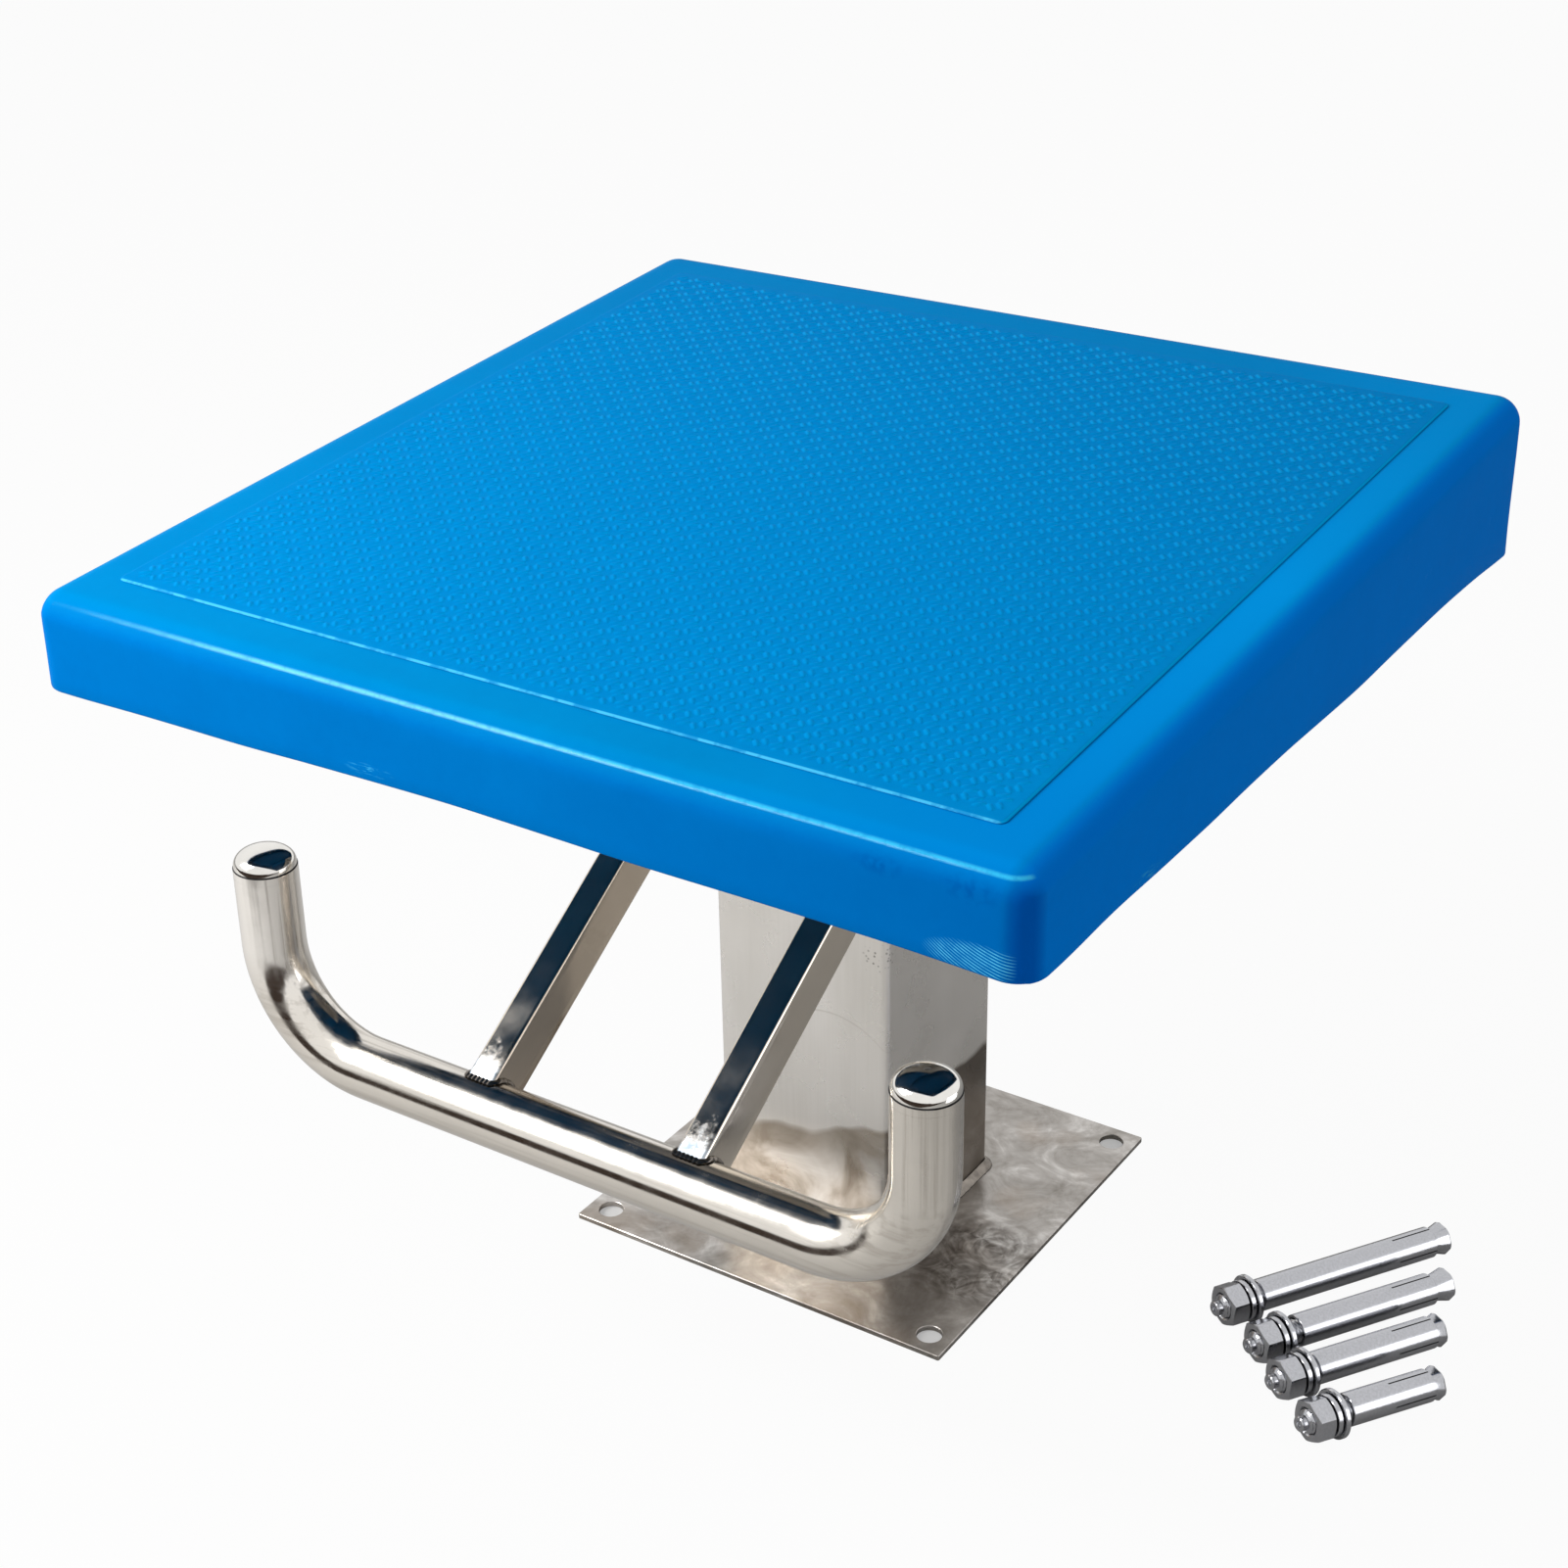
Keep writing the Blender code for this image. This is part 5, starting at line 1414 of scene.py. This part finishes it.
def slit_sleeve(start, end):
    """A tube with crossing slits at its far end: a grid of cells, of which the slits' cells are left out."""
    half = SLIT_WIDTH / 2 / SLEEVE_RADIUS
    quarter = math.tau / SLIT_COUNT
    angles = []
    for number in range(SLIT_COUNT):
        middle = number * quarter
        angles += [middle - half, middle + half]
        between = quarter - 2 * half
        angles += [middle + half + between * step / SLEEVE_STEPS for step in range(1, SLEEVE_STEPS)]
    levels = [start, start + SLEEVE_NEAR_EDGE, end - SLIT_LENGTH, end - SLEEVE_FAR_EDGE, end]
    outer_radii = [SLEEVE_RADIUS - inset for inset in (SLEEVE_NEAR_EDGE, 0.0, 0.0, 0.0, SLEEVE_FAR_EDGE)]
    columns, rows = len(angles), len(levels)
    points = []
    for radii in (outer_radii, [SLEEVE_BORE] * rows):
        for z, radius in zip(levels, radii):
            points += [polar(radius, angle, z) for angle in angles]

    def present(column, row):
        slit = column % columns % (SLEEVE_STEPS + 1) == 0 and row >= 2
        return 0 <= row < rows - 1 and not slit

    def corner(layer, column, row):
        return (layer * rows + row) * columns + column % columns

    faces, slots = [], []
    for column in range(columns):
        for row in range(rows - 1):
            if not present(column, row):
                continue
            around = ((column, row), (column + 1, row), (column + 1, row + 1), (column, row + 1))
            faces.append(tuple(corner(0, *place) for place in around))
            faces.append(tuple(corner(1, *place) for place in reversed(around)))
            # Slot 1 puts painted shade on the bore and the slits' walls
            slots += [0, 1]
            neighbours = ((column, row - 1), (column + 1, row), (column, row + 1), (column - 1, row))
            for index, neighbour in enumerate(neighbours):
                if not present(*neighbour):
                    ends = (around[(index + 1) % 4], around[index])
                    outer = [corner(0, *place) for place in ends]
                    inner = [corner(1, *place) for place in ends]
                    faces.append((*outer, *reversed(inner)))
                    slots.append(1 if 0 <= neighbour[1] < rows - 1 else 0)
    return points, faces, slots


def anchor_nut():
    low, high = THREAD_PAST_NUT, THREAD_PAST_NUT + NUT_HEIGHT
    edge = NUT_BORE_EDGE
    rings = hexagon_rings(NUT_FLATS, low, high)
    for widening, z in ((edge, high), (0.0, high - edge), (0.0, low + edge), (edge, low)):
        rings.append(circle(NUT_BORE + widening, z, NUT_SIDES))
    return loft(rings, closed=True)


def make_anchors():
    spring_thickness = SPRING_HEIGHT - SPRING_RISE
    for number, (gap, sleeve, cone) in enumerate(zip(THREAD_GAPS, SLEEVE_LENGTHS, CONE_LENGTHS), 1):
        start = WASHER_TOP + gap
        end = start + sleeve
        spring = split_ring(STUD_RADIUS + GAP, SPRING_RADIUS, SPRING_BOTTOM, spring_thickness, SPRING_RISE)
        for part, shape in (
            ("stud", threaded_stud(end + cone, cone, start + THREAD_PAST_WASHER)),
            ("sleeve", slit_sleeve(start, end)),
            ("flat_washer", washer(WASHER_BORE, WASHER_RADIUS, WASHER_BOTTOM, WASHER_TOP, WASHER_EDGE)),
            ("spring_washer", spring),
            ("nut", anchor_nut()),
        ):
            # Studs and sleeves take painted shade on their hidden row, bore and slits
            looks = ("zinc", "seam") if len(shape) > 2 else ("zinc",)
            add_piece(f"anchor_{number}_{part}", placed(shape, anchor_matrix(number)), looks)


make_deck()
make_tread()
make_post()
make_base_plate()
make_base_weld()
make_head_plate()
make_head_welds()
make_hand_bar()
make_end_caps()
make_struts()
make_bar_welds()
make_strut_welds()
make_board_and_rails()
make_deck_bolts()
make_anchors()


# Camera, at the photograph's viewing angle

CAMERA_PLACE = Vector((0.62061, -0.99426, 0.83137))
CAMERA_AZIMUTH = math.radians(33.91)
CAMERA_ELEVATION = math.radians(26.82)
CAMERA_ROLL = math.radians(-1.13)
CAMERA_LENS = 60.634
CAMERA_SENSOR = 36.0


def make_camera():
    camera = add_object("camera", bpy.data.cameras.new("camera"))
    camera.data.lens = CAMERA_LENS
    camera.data.sensor_width = CAMERA_SENSOR
    camera.data.clip_start = 0.01
    level, rise, _ = polar(1.0, CAMERA_ELEVATION)
    back = Vector((math.sin(CAMERA_AZIMUTH) * level, -math.cos(CAMERA_AZIMUTH) * level, rise))
    right = UP.cross(back).normalized()
    up = back.cross(right)
    rolled_right = math.cos(CAMERA_ROLL) * right + math.sin(CAMERA_ROLL) * up
    rolled_up = math.cos(CAMERA_ROLL) * up - math.sin(CAMERA_ROLL) * right
    camera.matrix_world = turned_to(CAMERA_PLACE, rolled_right, rolled_up, back)
    bpy.context.scene.camera = camera


# Pale floor and plain studio light

FLOOR_HALF_WIDTH = 14.0
FLOOR_HEIGHT = -0.0004
FLOOR_GREY = (0.62, 0.61, 0.595)
FLOOR_GLOW = 0.95
# Painted shadow: the floor glows less below the plate
UNDER_PLATE_SHADOW_GLOW = 0.35
UNDER_PLATE_MARGIN = 0.003
WORLD_LIGHT = 0.44
SOFT_PLACE = (-0.95, -0.95, 1.15)
SOFT_AIM = (0.0, -0.20, 0.35)
SOFT_SIZE = (0.8, 0.8)
SOFT_POWER = 17.0
STRIP_PLACE = (-1.19, -1.23, 1.69)
STRIP_AIM = (-1.19, -0.291, 0.39)
STRIP_SIZE = (1.3, 0.34)
STRIP_POWER = 14.0
BOX_AIM = Vector((0.275, 0.005, 0.010))
BOX_DISTANCE = 0.52
BOX_ELEVATION = math.radians(20)
BOX_LENGTH = 0.50
BOX_WIDTH = 0.34
BOX_COLOUR = (3.0, 3.0, 3.05)
BAND_NEAR = (-0.72, 0.001)
BAND_FAR = (-4.0, 0.001)
BAND_TOP = (-4.0, 0.42)
BAND_HALF_WIDTH = 4.0
BAND_COLOUR = (0.045, 0.032, 0.026)


def stage_mesh(name, points, faces, material):
    mesh = bpy.data.meshes.new(name)
    mesh.from_pydata(points, [], faces)
    mesh.materials.append(material)
    made = add_object(name, mesh)
    return made


def make_floor():
    """A pale floor that glows to the eye, with a painted shadow below the plate, and can't be seen from
    under it.
    """
    look = Look("floor", 1.0, 0.0, FLOOR_GREY)
    look.set("Specular IOR Level", 0.0)
    edge = PLATE_WIDTH / 2 - UNDER_PLATE_MARGIN
    sides = look.node("SeparateXYZ", {0: look.vector("ABSOLUTE", look.place)}).outputs
    outside = look.math("MAXIMUM", *(look.math("GREATER_THAN", sides[axis], edge) for axis in "XY"))
    seen = look.times(look.node("LightPath").outputs["Is Camera Ray"], FLOOR_GLOW)
    # Painted shadow: less glow below the plate
    share = look.times(seen, look.span(outside, 0.0, 1.0, UNDER_PLATE_SHADOW_GLOW, 1.0))
    glow = look.node("Emission").outputs[0]
    glowing = look.node("MixShader", {0: share, 1: look.shader.outputs[0], 2: glow})
    below = look.node("NewGeometry").outputs["Backfacing"]
    clear = look.node("BsdfTransparent").outputs[0]
    one_sided = look.node("MixShader", {0: below, 1: glowing.outputs[0], 2: clear})
    look.plug(look.tree.nodes["Material Output"].inputs[0], one_sided.outputs[0])
    half = FLOOR_HALF_WIDTH
    corners = [(-half, -half, 0.0), (half, -half, 0.0), (half, half, 0.0), (-half, half, 0.0)]
    floor = stage_mesh("floor", corners, [(0, 1, 2, 3)], look.finished())
    floor.location = (0.0, 0.0, FLOOR_HEIGHT)


def make_world():
    """A white surround that lights things less brightly than it looks."""
    world = bpy.data.worlds.new("studio")
    bpy.context.scene.world = world
    world.use_nodes = True
    graph = Graph(world.node_tree)
    background = graph.tree.nodes["Background"]
    graph.plug(background.inputs["Color"], (1.0, 1.0, 1.0))
    graph.plug(background.inputs["Strength"], graph.span(graph.seen_directly(), 0.0, 1.0, WORLD_LIGHT, 1.0))


def area_light(name, place, aim, size, power):
    """A rectangular lamp whose first side is level."""
    data = bpy.data.lights.new(name, "AREA")
    data.shape = "RECTANGLE"
    data.size, data.size_y = size
    data.energy = power
    back = (Vector(place) - Vector(aim)).normalized()
    level = UP.cross(back).normalized()
    add_object(name, data).matrix_world = turned_to(place, level, back.cross(level), back)


def mirrored_card(name, points, faces, colour):
    """A card that only mirrors and gloss see, for the bands that polished metal shows in a studio."""
    material = bpy.data.materials.new(name)
    material.use_nodes = True
    graph = Graph(material.node_tree)
    glow = graph.node("Emission", {"Color": colour})
    graph.plug(graph.tree.nodes["Material Output"].inputs[0], glow.outputs[0])
    card = stage_mesh(name, points, faces, material)
    card.visible_camera = False
    card.visible_diffuse = False
    card.visible_transmission = False
    card.visible_shadow = False


def make_floor_card():
    """A dark band on the floor in front, turned up at its far end."""
    places = (BAND_NEAR, BAND_FAR, BAND_TOP)
    points = [(side * BAND_HALF_WIDTH, y, z) for y, z in places for side in (-1, 1)]
    mirrored_card("floor_card", points, [(0, 1, 3, 2), (2, 3, 5, 4)], BAND_COLOUR)


def make_mirrored_box():
    """A bright card that the anchors' sleeves mirror as a light band along them."""
    along = anchor_matrix(1).to_3x3().col[2].normalized()
    lengthwise = (CAMERA_PLACE - BOX_AIM).normalized().dot(along)
    across = Vector((along.y, -along.x, 0.0)).normalized()
    raised = across * math.cos(BOX_ELEVATION) + UP * math.sin(BOX_ELEVATION)
    towards = raised * math.sqrt(1 - lengthwise ** 2) - along * lengthwise
    first = (along - towards * along.dot(towards)).normalized()
    second = towards.cross(first)
    middle = BOX_AIM + towards * BOX_DISTANCE
    points = [
        middle + first * (u * BOX_LENGTH / 2) + second * (v * BOX_WIDTH / 2)
        for u, v in ((-1, -1), (1, -1), (1, 1), (-1, 1))
    ]
    mirrored_card("mirrored_box", points, [(0, 1, 2, 3)], BOX_COLOUR)


make_camera()
make_floor()
make_world()
area_light("soft_box", SOFT_PLACE, SOFT_AIM, SOFT_SIZE, SOFT_POWER)
area_light("strip_box", STRIP_PLACE, STRIP_AIM, STRIP_SIZE, STRIP_POWER)
make_mirrored_box()
make_floor_card()

scene = bpy.context.scene
scene.view_settings.view_transform = "Standard"
